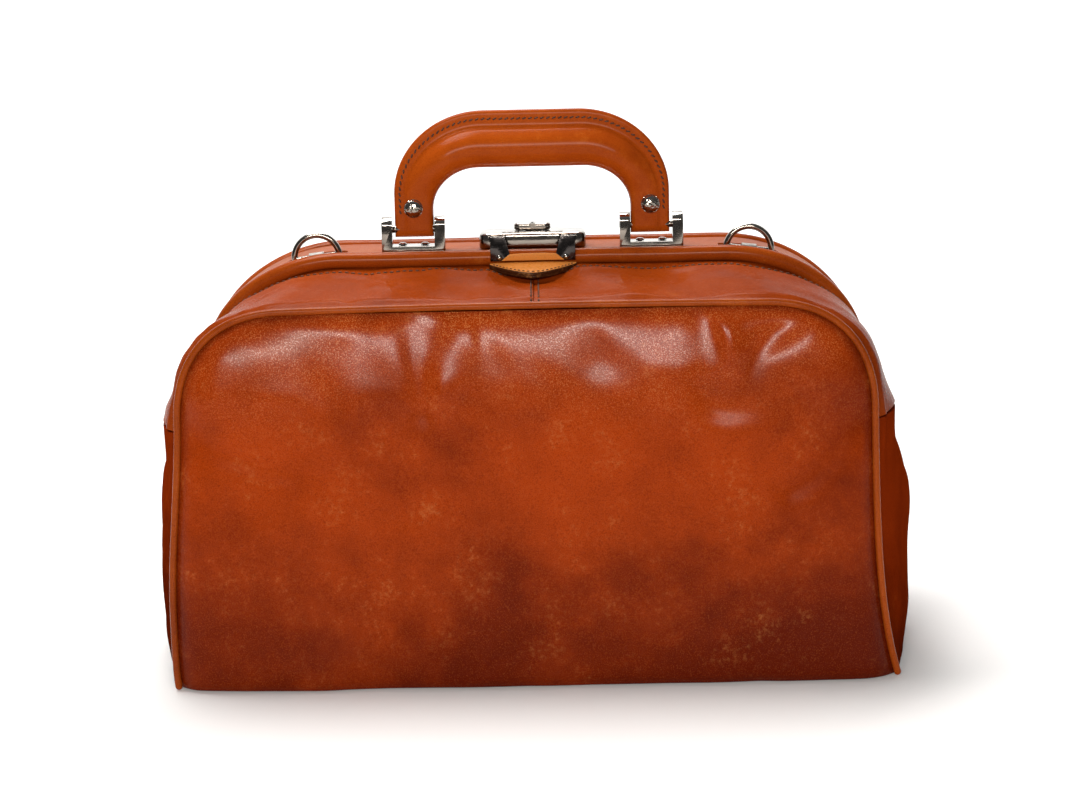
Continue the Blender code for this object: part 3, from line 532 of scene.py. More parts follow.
# ---- shader nodes -------------------------------------------------------------------------
class Value:
    """A node's output that Python's arithmetic works on, each operator adding a Math node."""

    def __init__(self, shader: "Shader", socket: bpy.types.NodeSocket) -> None:
        """Keep the tree and the socket."""
        self.shader = shader
        self.socket = socket

    def _math(self, operation: str, first: Any, second: Any) -> "Value":
        """Add a Math node of two values."""
        return self.shader.node('ShaderNodeMath', {"operation": operation}, {0: first, 1: second})

    def __add__(self, other: Any) -> "Value":
        """Sum."""
        return self._math('ADD', self, other)

    def __radd__(self, other: Any) -> "Value":
        """Sum with a number before it."""
        return self._math('ADD', other, self)

    def __sub__(self, other: Any) -> "Value":
        """Difference."""
        return self._math('SUBTRACT', self, other)

    def __rsub__(self, other: Any) -> "Value":
        """Difference from a number."""
        return self._math('SUBTRACT', other, self)

    def __mul__(self, other: Any) -> "Value":
        """Product."""
        return self._math('MULTIPLY', self, other)

    def __rmul__(self, other: Any) -> "Value":
        """Product with a number before it."""
        return self._math('MULTIPLY', other, self)

    def above(self, start: float, end: float) -> "Value":
        """Smooth step: 0 up to start, 1 from end on."""
        return self.shader.node('ShaderNodeMapRange', {"interpolation_type": 'SMOOTHSTEP', "clamp": True},
                                {"Value": self, "From Min": start, "From Max": end})


class Shader:
    """Node tree of one material round a Principled shader."""

    def __init__(self, name: str) -> None:
        """Start a material with an empty Principled shader."""
        self.material = bpy.data.materials.new(f"{name}_finish")
        self.material.use_nodes = True
        self.tree = self.material.node_tree
        self.surface = self.tree.nodes["Principled BSDF"]

    def node(self, kind: str, settings: dict[str, Any] | None = None,
             inputs: dict[str | int, Any] | None = None, output: str | int = 0) -> Value:
        """Add one node.

        Args:
            kind: The node's type.
            settings: Its own settings, set first.
            inputs: A value or a link for each named or numbered socket.
            output: Which output to return.

        Returns:
            The output, ready for arithmetic.
        """
        made = self.tree.nodes.new(kind)
        for key, value in (settings or {}).items():
            setattr(made, key, value)
        for key, value in (inputs or {}).items():
            self.feed(made.inputs[key], value)
        return Value(self, made.outputs[output])

    def feed(self, socket: bpy.types.NodeSocket, value: Any) -> None:
        """Link a value to a socket, or set a number or colour on it."""
        if isinstance(value, Value):
            self.tree.links.new(value.socket, socket)
        elif isinstance(value, tuple) and len(socket.default_value) == 4:
            socket.default_value = (*value, 1.0)
        else:
            socket.default_value = value

    def place(self, stretch: Point = (1.0, 1.0, 1.0)) -> Value:
        """Object coordinates in metres, stretched along each axis."""
        place = self.node('ShaderNodeTexCoord', output="Object")
        return self.node('ShaderNodeMapping', {}, {"Vector": place, "Scale": Vector(stretch)})

    def height(self) -> Value:
        """Height above the floor, in metres."""
        return self.node('ShaderNodeSeparateXYZ', {}, {0: self.place()}, output="Z")

    def noise(self, place: Value, scale: float, detail: float = 3.0, roughness: float = 0.5,
              distortion: float = 0.0) -> Value:
        """Soft noise from 0 to 1, its scale in waves per metre."""
        return self.node('ShaderNodeTexNoise', {}, {"Vector": place, "Scale": scale, "Detail": detail,
                                                    "Roughness": roughness, "Distortion": distortion})

    def cells(self, place: Value, scale: float, feature: str = 'F1') -> Value:
        """Distance to the nearest cell centre, or to the nearest border between cells."""
        return self.node('ShaderNodeTexVoronoi', {"feature": feature}, {"Vector": place, "Scale": scale},
                         output="Distance")

    def attribute(self, name: str) -> Value:
        """Value that a piece's mesh keeps for each vertex, or 0 where it keeps none."""
        return self.node('ShaderNodeAttribute', {"attribute_name": name}, output="Fac")

    def mix(self, share: Any, first: Any, second: Any) -> Value:
        """Colour between two colours."""
        return self.node('ShaderNodeMix', {"data_type": 'RGBA'}, {0: share, 6: first, 7: second}, output=2)

    def bump(self, height: Value, distance: float, strength: float = 1.0) -> Value:
        """Normal of a fine relief whose full height is the distance in metres."""
        return self.node('ShaderNodeBump', {}, {"Height": height, "Distance": distance,
                                                "Strength": strength})

    def set(self, **values: Any) -> None:
        """Set or link the Principled shader's sockets, named with underscores for spaces."""
        for name, value in values.items():
            self.feed(self.surface.inputs[name.replace("_", " ")], value)


WARM: Colour = (1.0, 0.84, 0.68)
PALE_WAX: Colour = (1.0, 0.93, 0.84)


class Finish:
    """A finish that makes its material once and puts it on pieces."""

    name: str
    slot: str

    def shader(self) -> Shader:
        """Build the finish's nodes."""
        raise NotImplementedError

    def put_on(self, *pieces: bpy.types.Object, declare: bool = True) -> None:
        """Dress pieces with this finish.

        Args:
            *pieces: New pieces, or CAD nodes' objects.
            declare: Not used.
        """
        material = bpy.data.materials.get(f"{self.name}_finish") or self.shader().material
        for piece in pieces:
            if not piece.data.materials:
                piece.data.materials.append(material)
            for number in range(len(piece.data.materials)):
                piece.data.materials[number] = material


@dataclass(frozen=True)
class Leather(Finish):
    """Glossy vegetable-tanned leather: cloudy dye, fine pores, scuffs and a waxed top coat.

    The dye goes from deep to base to light with cloudy noise, and is darker towards the base. Painted shade
    darkens the seams and the right of the bag and keeps the lower left lighter, and a painted highlight
    lightens the upper part.
    The "edge" value also darkens burnished edges. Pores are small cells, and fine creases are the borders of
    larger ones.
    """

    name: str
    slot: str
    base: Colour
    deep: Colour
    light: Colour
    cloud: float = 8.0
    pores: float = 1500.0
    gloss: float = 0.27
    coat: float = 0.07
    specular: float = 0.040
    relief: float = 0.00003
    painted_sheen: float = 0.0
    dye_start: float = 0.0
    sheen_from: float = 0.125
    fade: float = 0.13
    stain: float = 0.66
    grain: float = 1.0
    side_shade: float = 0.0
    seam_shade: float = 0.28
    right_shade_depth: float = 0.42
    wax_roughness: float = 0.20

    def shader(self) -> Shader:
        """Build the leather's nodes."""
        leather = Shader(self.name)
        place = leather.place()
        clouds = leather.noise(place, self.cloud, 4.0, 0.6, 0.4)
        patches = leather.noise(place, self.cloud * 5.5, 3.0, 0.6)
        mottle = leather.noise(place, 330.0, 3.0, 0.7)
        specks = leather.noise(place, self.pores * 1.05, 2.0, 0.6)
        pores = leather.cells(leather.place((1.0, 1.0, 1.15)), self.pores)
        creases = leather.cells(leather.place((1.0, 1.0, 0.7)), self.pores * 0.36, 'DISTANCE_TO_EDGE')
        scuffs = leather.noise(leather.place((60.0, 60.0, 700.0)), 1.0, 2.0).above(0.62, 0.74)
        seam = leather.attribute("edge")
        height = leather.height()
        across = leather.node('ShaderNodeSeparateXYZ', {}, {0: place}, output="X")
        # Darker towards the base; painted shade makes this darkening weaker on the left of the bag than on
        # the right.
        low = (1.0 - height.above(0.0, self.fade)) * (1.0 - self.side_shade * (1.0 - across.above(-0.20, 0.02)))
        # Painted shade: darker towards the right of the bag, below its top.
        right_shade = across.above(0.04, 0.20) * (1.0 - height.above(0.13, 0.19)) * (self.right_shade_depth * self.side_shade)
        # Painted highlight: the upper part is lightened towards the light colour, and its coat is raised.
        upper_sheen = height.above(self.sheen_from, self.sheen_from + 0.075) * self.painted_sheen
        shade = 0.22 - (clouds - 0.5) * 1.5 - (patches - 0.5) * 0.6
        # Adds the darkening towards the base, the painted shade on the right, and the "edge" value: painted
        # shade along seams, burnished edges on the tab and handle.
        shade = shade + low * self.stain + right_shade + seam * self.seam_shade
        dye = leather.mix(shade.above(self.dye_start, self.dye_start + 1.0), self.base, self.deep)
        bright = (patches * 0.5 + mottle * 0.5).above(0.54, 0.82) * 0.40
        dye = leather.mix(bright, dye, self.light)
        pale = specks.above(0.50, 0.68)
        dye = leather.mix(pale * (0.14 * self.grain), dye, self.base)
        # Painted highlight: pale specks and clouds of the upper part turn to the light colour.
        dye = leather.mix(pale * (0.05 * self.grain + upper_sheen * clouds.above(0.30, 0.60)), dye, self.light)
        dye = leather.mix((1.0 - specks.above(0.32, 0.50)) * (0.42 * self.grain), dye, self.deep)
        roughness = self.gloss + (mottle - 0.5) * 0.22 + (patches - 0.5) * 0.14 + scuffs * 0.07
        grain = pores.above(0.05, 0.5) * 0.4 + creases.above(0.0, 0.16) * 0.3 + specks * 1.2 + mottle * 0.5
        normal = leather.bump(grain, self.relief)
        coarse = leather.node('ShaderNodeBump', {}, {"Height": patches + clouds * 0.5, "Distance": 0.0008,
                                                     "Strength": 0.30, "Normal": normal})
        wax = self.coat + upper_sheen * (0.25 + pale * 0.75)
        leather.set(Base_Color=dye, Roughness=roughness, Normal=coarse, Specular_IOR_Level=self.specular,
                    Specular_Tint=WARM, Coat_Weight=wax, Coat_Roughness=self.wax_roughness,
                    Coat_Tint=PALE_WAX, Coat_IOR=1.45)
        return leather


@dataclass(frozen=True)
class Thread(Finish):
    """Waxed linen thread: twisted strands with a slightly uneven dye."""

    name: str
    slot: str
    light: Colour
    dark: Colour

    def shader(self) -> Shader:
        """Build the thread's nodes."""
        thread = Shader(self.name)
        strands = thread.noise(thread.place(), 2600.0, 2.0, 0.6)
        tone = thread.noise(thread.place(), 160.0, 2.0)
        colour = thread.mix((strands * 0.7 + tone * 0.4).above(0.35, 0.75), self.dark, self.light)
        thread.set(Base_Color=colour, Roughness=0.55 + strands * 0.2, Normal=thread.bump(strands, 0.00012))
        return thread


@dataclass(frozen=True)
class Plated(Finish):
    """Nickel-plated steel, finely scratched, with a painted reflection: a light colour on upward faces and a
    dark one on upright faces.
    """

    name: str
    slot: str
    # Upward faces: painted highlight standing in for bright reflections.
    colour: Colour
    # Upright faces: painted shade standing in for dark reflections.
    side: Colour
    gloss: float = 0.10
    brushed: float = 0.10
    hammered: float = 0.0

    def shader(self) -> Shader:
        """Build the metal's nodes."""
        metal = Shader(self.name)
        smudge = metal.noise(metal.place(), 120.0, 3.0, 0.6)
        lines = metal.noise(metal.place((220.0, 1800.0, 1800.0)), 1.0, 3.0, 0.7)
        scratches = metal.noise(metal.place((900.0, 60.0, 420.0)), 1.0, 2.0).above(0.70, 0.78)
        facing = metal.node('ShaderNodeNewGeometry', output="Normal")
        upward = metal.node('ShaderNodeSeparateXYZ', {}, {0: facing}, output="Z").above(0.15, 0.75)
        stain = (smudge * 0.8 + lines * 0.2).above(0.40, 0.75)
        # Painted reflection: upward faces take the light colour and upright ones the dark one; smudges pull
        # towards the dark one.
        colour = metal.mix(upward * (1.0 - stain * 0.25), self.side, self.colour)
        roughness = self.gloss + stain * 0.07 + lines * self.brushed + scratches * 0.10
        dents = metal.cells(metal.place(), 800.0) * self.hammered
        relief = metal.bump(lines * 0.2 - scratches * 0.3 + dents, 0.00006)
        metal.set(Base_Color=colour, Metallic=1.0, Roughness=roughness, Normal=relief)
        return metal


@dataclass(frozen=True)
class Cloth(Finish):
    """Woven cotton lining: crossing threads with slubs and faded patches."""

    name: str
    slot: str
    light: Colour
    dark: Colour
    threads: float = 1100.0

    def shader(self) -> Shader:
        """Build the cloth's nodes."""
        cloth = Shader(self.name)
        spin = 2.0 * math.pi
        along = cloth.node('ShaderNodeTexWave', {"bands_direction": 'DIAGONAL'},
                           {"Vector": cloth.place(), "Scale": self.threads / spin, "Distortion": 0.4})
        across = cloth.node('ShaderNodeTexWave', {"bands_direction": 'Z'},
                            {"Vector": cloth.place(), "Scale": self.threads / spin, "Distortion": 0.4})
        slubs = cloth.noise(cloth.place((30.0, 30.0, 500.0)), 1.0, 2.0)
        fade = cloth.noise(cloth.place(), 14.0, 3.0)
        weave = along * 0.5 + across * 0.5
        tone = (weave * 0.4 + slubs * 0.3 + fade * 0.5).above(0.3, 0.9)
        cloth.set(Base_Color=cloth.mix(tone, self.dark, self.light), Roughness=0.80 + weave * 0.15,
                  Normal=cloth.bump(weave + slubs * 0.3, 0.0002), Specular_IOR_Level=0.2)
        return cloth


@dataclass(frozen=True)
class Fibre(Finish):
    """Pressed fibre board or twisted cord: coarse mixed fibres."""

    name: str
    slot: str
    light: Colour
    dark: Colour

    def shader(self) -> Shader:
        """Build the fibres' nodes."""
        fibre = Shader(self.name)
        strands = fibre.noise(fibre.place((1.0, 3.0, 3.0)), 380.0, 4.0, 0.7, 0.6)
        flecks = fibre.noise(fibre.place(), 900.0, 2.0)
        tone = (strands * 0.7 + flecks * 0.4).above(0.35, 0.75)
        fibre.set(Base_Color=fibre.mix(tone, self.dark, self.light), Roughness=0.78 + flecks * 0.15,
                  Normal=fibre.bump(strands, 0.0003), Specular_IOR_Level=0.2)
        return fibre


# The body leather has painted shade on its right and lower right, and a painted highlight on its upper part.
BODY = Leather("body_leather", "body_leather", (0.345, 0.039, 0.0026), (0.100, 0.0072, 0.0008),
               (0.640, 0.250, 0.070), painted_sheen=0.62, specular=0.028, side_shade=0.62)
GUSSET = Leather("gusset_leather", "gusset_leather", (0.220, 0.022, 0.0020), (0.075, 0.0065, 0.0010),
                 (0.310, 0.056, 0.008), gloss=0.55, coat=0.0, specular=0.0)
# The band leather has a little painted highlight on its upper part.
BAND = Leather("band_leather", "body_leather", (0.285, 0.041, 0.0032), (0.120, 0.0120, 0.0015),
               (0.440, 0.120, 0.016), gloss=0.26, coat=0.0, specular=0.012, stain=0.0, painted_sheen=0.10)
ROLL = Leather("roll_leather", "roll_leather", (0.320, 0.054, 0.0042), (0.110, 0.0120, 0.0015),
               (0.540, 0.165, 0.024), gloss=0.20, coat=0.15, stain=0.0)
TOP = Leather("top_leather", "top_leather", (0.340, 0.070, 0.0090), (0.160, 0.0240, 0.0035),
              (0.480, 0.160, 0.040), gloss=0.42, coat=0.03, specular=0.05, stain=0.0)
HANDLE = Leather("handle_leather", "handle_leather", (0.390, 0.064, 0.0040), (0.210, 0.0260, 0.0020),
                 (0.560, 0.160, 0.020), cloud=16.0, gloss=0.24, coat=0.10, specular=0.03, stain=0.0)
TAB = Leather("tab_leather", "tab_leather", (0.620, 0.220, 0.042), (0.040, 0.0110, 0.0040),
              (0.720, 0.340, 0.110), cloud=30.0, gloss=0.30, coat=0.06, stain=0.0, dye_start=0.42, grain=0.35)
BASE = Leather("base_leather", "base_leather", (0.150, 0.018, 0.0030), (0.050, 0.0070, 0.0020),
               (0.240, 0.050, 0.010), gloss=0.45, coat=0.08)
THREAD = Thread("brown_thread", "handle_leather", (0.110, 0.030, 0.0070), (0.022, 0.0070, 0.0030))
# The two colours of each nickel are its painted reflections, light on upward faces and dark on upright ones;
# the shaded nickel's upright faces are near black.
NICKEL = Plated("nickel", "nickel", (0.66, 0.63, 0.58), (0.25, 0.215, 0.185), 0.06, 0.05)
SHADED_NICKEL = Plated("dark_nickel", "nickel", (0.66, 0.62, 0.57), (0.060, 0.052, 0.050), 0.07, 0.05)
RIVET = Plated("rivet_nickel", "nickel", (0.66, 0.62, 0.57), (0.33, 0.29, 0.25), 0.08, 0.04, 3.2)
STEEL = Plated("frame_steel", "frame_steel", (0.45, 0.44, 0.42), (0.26, 0.25, 0.24), 0.26, 0.16)
LINING = Cloth("lining_cloth", "lining_cloth", (0.420, 0.300, 0.180), (0.240, 0.160, 0.090))
BOARD = Fibre("fibre_board", "fibre_board", (0.240, 0.160, 0.100), (0.100, 0.065, 0.040))
CORD = Fibre("core_cord", "core_cord", (0.330, 0.250, 0.160), (0.160, 0.110, 0.065))


# ---- forms that several pieces share ------------------------------------------------------
def quarter(centre: tuple[float, float], reach: tuple[float, float], power: float, steps: int) -> Array:
    """Superellipse quarter from its top to its side.

    Args:
        centre: Centre as (x, z).
        reach: Half-width and height.
        power: 2 for an ellipse, more for a squarer corner.
        steps: Number of points.

    Returns:
        Points (x, z).
    """
    angle = np.linspace(0.0, math.pi / 2, steps)
    x = centre[0] + reach[0] * np.sin(angle) ** (2.0 / power)
    z = centre[1] + reach[1] * np.clip(np.cos(angle), 0.0, 1.0) ** (2.0 / power)
    return np.column_stack([x, z])


@dataclass(frozen=True)
class BodyForm:
    """Outline of the front and back panels and the bulge of the sides between them."""

    plane: float = 0.0960
    top: float = 0.1990
    shoulder: float = 0.1390
    half_top: float = 0.1790
    half_base: float = 0.1880
    corner: float = 0.0595
    power: float = 2.4
    crown: float = 0.0008
    widest: float = 0.2037
    seam: float = 0.1360
    piping: float = 0.0018

    def half_width(self, z: Array, side: Side, end: End) -> Array:
        """Half-width of a panel's straight side, a little relaxed at the front.

        Args:
            z: Heights.
            side: Left or right.
            end: Front or back.

        Returns:
            Distance from the middle of the bag.
        """
        z = np.asarray(z, float)
        if end is End.BACK:
            return self.half_base + (self.half_top - self.half_base) * z / self.shoulder
        if side is Side.LEFT:
            return 0.1845 + 0.0065 * smooth((0.150 - z) / 0.110) - 0.0015 * np.exp(-z / 0.008)
        return 0.1740 + 0.0130 * np.exp(-z / 0.042)

    def half_arch(self, side: Side, end: End, foot: float, inset: float = 0.0) -> Array:
        """Half of the piped outline from the top centre down to the foot.

        Args:
            side: Left or right; the points' x stay positive.
            end: Front or back.
            foot: Height of the lowest point.
            inset: Distance inside the piping's centre line.

        Returns:
            Points (x, z).
        """
        flat = float(self.half_width(self.shoulder, side, end)) - self.corner
        x = np.linspace(0.0, flat, FLAT_POINTS + 1)[:-1]
        top = np.column_stack([x, self.top - inset + self.crown * (1.0 - (x / flat) ** 2)])
        reach = (self.corner - inset, self.top - self.shoulder - inset)
        arc = quarter((flat, self.shoulder), reach, self.power, 48)
        z = np.linspace(self.shoulder, foot, 60)[1:]
        return np.vstack([top, arc, np.column_stack([self.half_width(z, side, end) - inset, z])])

    def arch(self, end: End, foot: float) -> Array:
        """Whole piped outline (x, z) from the left foot over the top to the right foot."""
        left = self.half_arch(Side.LEFT, end, foot)[:0:-1] * np.array([-1.0, 1.0])
        return np.vstack([left, self.half_arch(Side.RIGHT, end, foot)])

    def side_bulge(self, z: Array) -> Array:
        """Half-width of the side leather on the middle plane of the bag."""
        lower = 0.0037 * smooth(z / 0.030)
        upper = 0.0082 * (np.clip(z - 0.080, 0.0, None) / 0.055) ** 2
        return self.widest - 0.0037 + lower - upper


@dataclass(frozen=True)
class FrameForm:
    """Path of one mouth frame: flat top, elliptical corners and legs that flare to the hinge."""

    reach: float
    ear: float
    hinge: float = 0.1000
    top: float = 0.2150
    half: float = 0.1750
    shoulder: float = 0.1570
    corner: float = 0.0720
    rod_end: float = 0.1160
    roll: float = 0.0043

    def half_arch(self, foot: float) -> Array:
        """Right half (x, z) of the frame from its top centre down to a height."""
        flat = self.half - self.corner
        x = np.linspace(0.0, flat, FLAT_POINTS + 1)[:-1]
        arc = quarter((flat, self.shoulder), (self.corner, self.top - self.shoulder), 2.0, 60)
        z = np.linspace(self.shoulder, foot, 30)[1:]
        drop = (self.shoulder - z) / (self.shoulder - self.rod_end)
        leg = np.column_stack([self.half + (self.ear - self.half) * drop ** 2, z])
        return np.vstack([np.column_stack([x, np.full_like(x, self.top)]), arc, leg])

    def lean(self, z: Array) -> Array:
        """Distance of the frame's plane from the middle of the bag at a height."""
        return self.reach * (z - self.hinge) / (self.top - self.hinge)

    def path(self, foot: float) -> Array:
        """Whole frame path in space from the left leg over the top to the right leg."""
        half = self.half_arch(foot)
        arch = np.vstack([half[:0:-1] * np.array([-1.0, 1.0]), half])
        return np.column_stack([arch[:, 0], self.lean(arch[:, 1]), arch[:, 1]])


FORM = BodyForm()
FRONT_FRAME = FrameForm(-0.0220, 0.1818)
BACK_FRAME = FrameForm(0.0330, 0.1846)


def frame_of(end: End) -> FrameForm:
    """Mouth frame of the front or the back."""
    return FRONT_FRAME if end is End.FRONT else BACK_FRAME


def body_of(end: End) -> str:
    """Name of the body that a mouth frame belongs to."""
    return "front_frame" if end is End.FRONT else "back_frame"


@dataclass(frozen=True)
class Crossing:
    """Turn of leather that crosses a frame's hinge, from the body to the frame: its steps are worked out, but
    each method only bakes the piece's placement into its mesh.
    """

    end: End
    start: float = 0.0930
    front_reach: float = 0.0150
    front_rise: float = 0.0279
    back_reach: float = 0.0165
    back_rise: float = 0.0252
    inner: float = 0.0120

    def step(self) -> Array:
        """Run of the turn in the outer part of the sides, from its start, as (y, z)."""
        if self.end is End.FRONT:
            return np.array([self.front_reach, self.front_rise])
        return np.array([-self.back_reach, self.back_rise])

    def sides(self, piece: bpy.types.Object) -> None:
        """Bake the side leather's placement into its mesh; its turn between a panel and the frame's leg is
        not made.
        """
        y, run = self.end.value * self.start, self.step()
        y + float(run[0])
        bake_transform(piece)

    def middle(self, piece: bpy.types.Object) -> None:
        """Bake the side leather's placement into its mesh; its turn between the frame's leg and the middle
        plane, where it stays, is not made.

        The slope and height of that turn, the same slope in height as the outer part's and the same value at
        the border between the two, are worked out and not used.
        """
        run = self.step()
        square = float(run @ run)
        rise = float(run[1]) / square
        share = (self.start - self.inner) * abs(float(run[0])) / square
        slope = self.end.value * share / self.inner
        scale = 1.0 / (slope * slope + rise * rise)
        slope * scale
        FORM.seam + rise * scale
        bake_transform(piece)

    def band(self, piece: bpy.types.Object) -> None:
        """Bake the mouth band's placement into its mesh; its turn between the piping and the frame, by depth
        alone, is not made.
        """
        run = self.step()
        full = self.start - float(run @ run) / abs(float(run[0]))
        self.end.value * self.start
        self.end.value * full
        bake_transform(piece)


def report(*pieces: bpy.types.Object) -> None:
    """Log each finished piece with its number of faces."""
    for piece in pieces:
        LOG.info("%s: %d faces", piece.name, len(piece.data.polygons))


# ---- leather body -------------------------------------------------------------------------
@dataclass(frozen=True)
class Panels:
    """Front and back panels with their piping and the bottom leather."""

    leather: float = 0.0024
    front_folds: tuple[Fold, ...] = (
        Fold(-0.0024, (-0.057, 0.190), (-0.060, 0.152), 0.0095),
        Fold(0.0016, (-0.036, 0.192), (-0.042, 0.158), 0.0110),
        Fold(-0.0017, (0.077, 0.190), (0.094, 0.158), 0.0085),
        Fold(-0.0017, (0.123, 0.188), (0.104, 0.154), 0.0085),
        Fold(0.0014, (0.098, 0.190), (0.098, 0.166), 0.0080),
        Fold(-0.0020, (-0.178, 0.137), (-0.108, 0.108), 0.0150),
        Fold(0.0012, (-0.176, 0.166), (-0.110, 0.140), 0.0180),
        Fold(-0.0020, (0.174, 0.150), (0.136, 0.108), 0.0140),
        Fold(0.0011, (0.172, 0.178), (0.126, 0.138), 0.0160),
        Fold(-0.0010, (0.010, 0.196), (0.030, 0.176), 0.0100))
    back_folds: tuple[Fold, ...] = (
        Fold(-0.0014, (-0.176, 0.150), (-0.120, 0.118), 0.009),
        Fold(-0.0014, (0.176, 0.142), (0.118, 0.112), 0.009))
    rim: float = 0.0014
    swell: float = 0.0024
    turn: float = 0.0060
    upper: float = 0.0066
    upper_reach: float = 0.034
    upper_side: float = 0.009
    lateral: float = 0.0022
    lateral_reach: float = 0.026
    crown: float = 0.0026
    curl: float = 0.0030
    curl_height: float = 0.0065
    foot: float = 0.0008
    columns: int = 190

    def relief(self, x: Array, z: Array, end: End) -> Array:
        """Folds and dents of a panel: soft lines and waves added together.

        The places are first shifted by slow waves, so that no fold is straight.

        Args:
            x: Distances from the middle.
            z: Heights.
            end: Front or back.

        Returns:
            How far each point stands out of the smooth crown.
        """
        seed = 3 if end is End.FRONT else 8
        x = x + 0.0060 * ripple(x, z, 0.060, seed + 30)
        z = z + 0.0050 * ripple(x, z, 0.055, seed + 31)
        total = 0.0011 * ripple(x, z, 0.095, seed) + 0.00022 * ripple(x, z, 0.030, seed + 1)
        for fold in (self.front_folds if end is End.FRONT else self.back_folds):
            total = total + fold.height * crease(x, z, fold)
        return total

    def panel(self, end: End) -> bpy.types.Object:
        """One panel: a row at each height of the arch, crowned away from its seams.

        The depth is the plane, plus a swell and a belly that rise as tanh of the distance from the
        sides and from the top, plus the folds. The foot curls under.
        """
        left = FORM.half_arch(Side.LEFT, end, self.foot, self.rim)
        right = FORM.half_arch(Side.RIGHT, end, self.foot, self.rim)
        share = np.linspace(0.0, 1.0, self.columns)[None, :]
        low, high = -left[FLAT_POINTS:, :1], right[FLAT_POINTS:, :1]
        x = low + (high - low) * share
        z = np.repeat(left[FLAT_POINTS:, 1:], self.columns, axis=1)
        side_gap = np.minimum(x - low, high - x)
        top_gap = FORM.top - self.rim - z
        corner = np.hypot(np.clip(0.03 - side_gap, 0.0, None), np.clip(0.03 - top_gap, 0.0, None))
        gap = np.clip(np.minimum(np.minimum(side_gap, top_gap), 0.04 - corner), 0.0, None)
        rise = np.tanh(gap / self.turn)
        belly = self.upper * np.tanh(top_gap / self.upper_reach) * np.tanh(side_gap / self.upper_side)
        belly = belly + self.lateral * np.tanh(side_gap / self.lateral_reach)
        broad = (1.0 - ((x - (low + high) / 2) / ((high - low) / 2 + 1e-6)) ** 2)
        crown = self.crown * broad * np.clip(1.0 - (z / 0.1 - 0.95) ** 2, 0.0, 1.0)
        curl = self.curl * (1.0 - smooth(z / self.curl_height)) ** 2
        depth = FORM.plane - 0.0006 + self.swell * rise + belly + crown - curl
        depth = depth + self.relief(x, z, end) * rise
        # Painted shade along the piping, kept as the "edge" value.
        seam = np.clip(1.0 - gap / SEAM_WIDTH, 0.0, 1.0)
        grid = np.stack([x, end.value * depth, z], axis=2)
        name = "front_panel_leather" if end is End.FRONT else "back_panel_leather"
        piece = shell(name, grid, self.leather, edge=seam)
        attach(piece, "bag_body")
        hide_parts("front_panel" if end is End.FRONT else "back_panel")
        BODY.put_on(piece)
        return piece

    def cord_edge(self, end: End) -> bpy.types.Object:
        """Piping along a panel's arch: a slightly uneven round tube."""
        arch = FORM.arch(end, 0.0022)
        path = np.column_stack([arch[:, 0], np.full(len(arch), end.value * FORM.plane), arch[:, 1]])
        path = resample(path, np.linspace(0.0, 1.0, 420))
        path[:, 1] += 0.00025 * ripple(path[:, 0], path[:, 2], 0.04, 5)
        name = "front_piping_leather" if end is End.FRONT else "back_piping_leather"
        piece = tube(name, path, FORM.piping + 0.0001, 14, (0.0, 1.0, 0.0))
        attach(piece, "bag_body")
        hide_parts("front_piping" if end is End.FRONT else "back_piping")
        ROLL.put_on(piece)
        return piece

    def bottom(self) -> bpy.types.Object:
        """Bottom leather: an oval-sided sheet with a rounded rim, very slightly wavy inside.

        Its half-width at each depth is the foot of the side leather, and its rows run across it.
        """
        reach = FORM.plane - 0.0028
        y = np.linspace(-reach, reach, 60)[:, None]
        bulge = float(FORM.side_bulge(np.array(0.0))) - 0.0012
        half = FORM.half_base - 0.0016 + (bulge - FORM.half_base) * (1.0 - np.abs(y / reach) ** 2.2)
        across = np.sin(np.linspace(-1.0, 1.0, 120) * math.pi / 2)[None, :]
        x = half * across
        rim = np.clip(np.minimum(half - np.abs(x), reach - np.abs(y)) / 0.0016, 0.0, 1.0)
        z = 0.0009 * (1.0 - np.sqrt(rim * (2.0 - rim)))
        grid = np.stack(np.broadcast_arrays(x, y, z), axis=2)
        piece = shell("bottom_leather", grid, self.leather - 0.0002)
        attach(piece, "bag_body")
        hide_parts("bottom_panel")
        BASE.put_on(piece)
        return piece

    def build(self) -> None:
        """Make the panels, piping and bottom."""
        for end in End:
            report(self.panel(end), self.cord_edge(end))
        report(self.bottom())


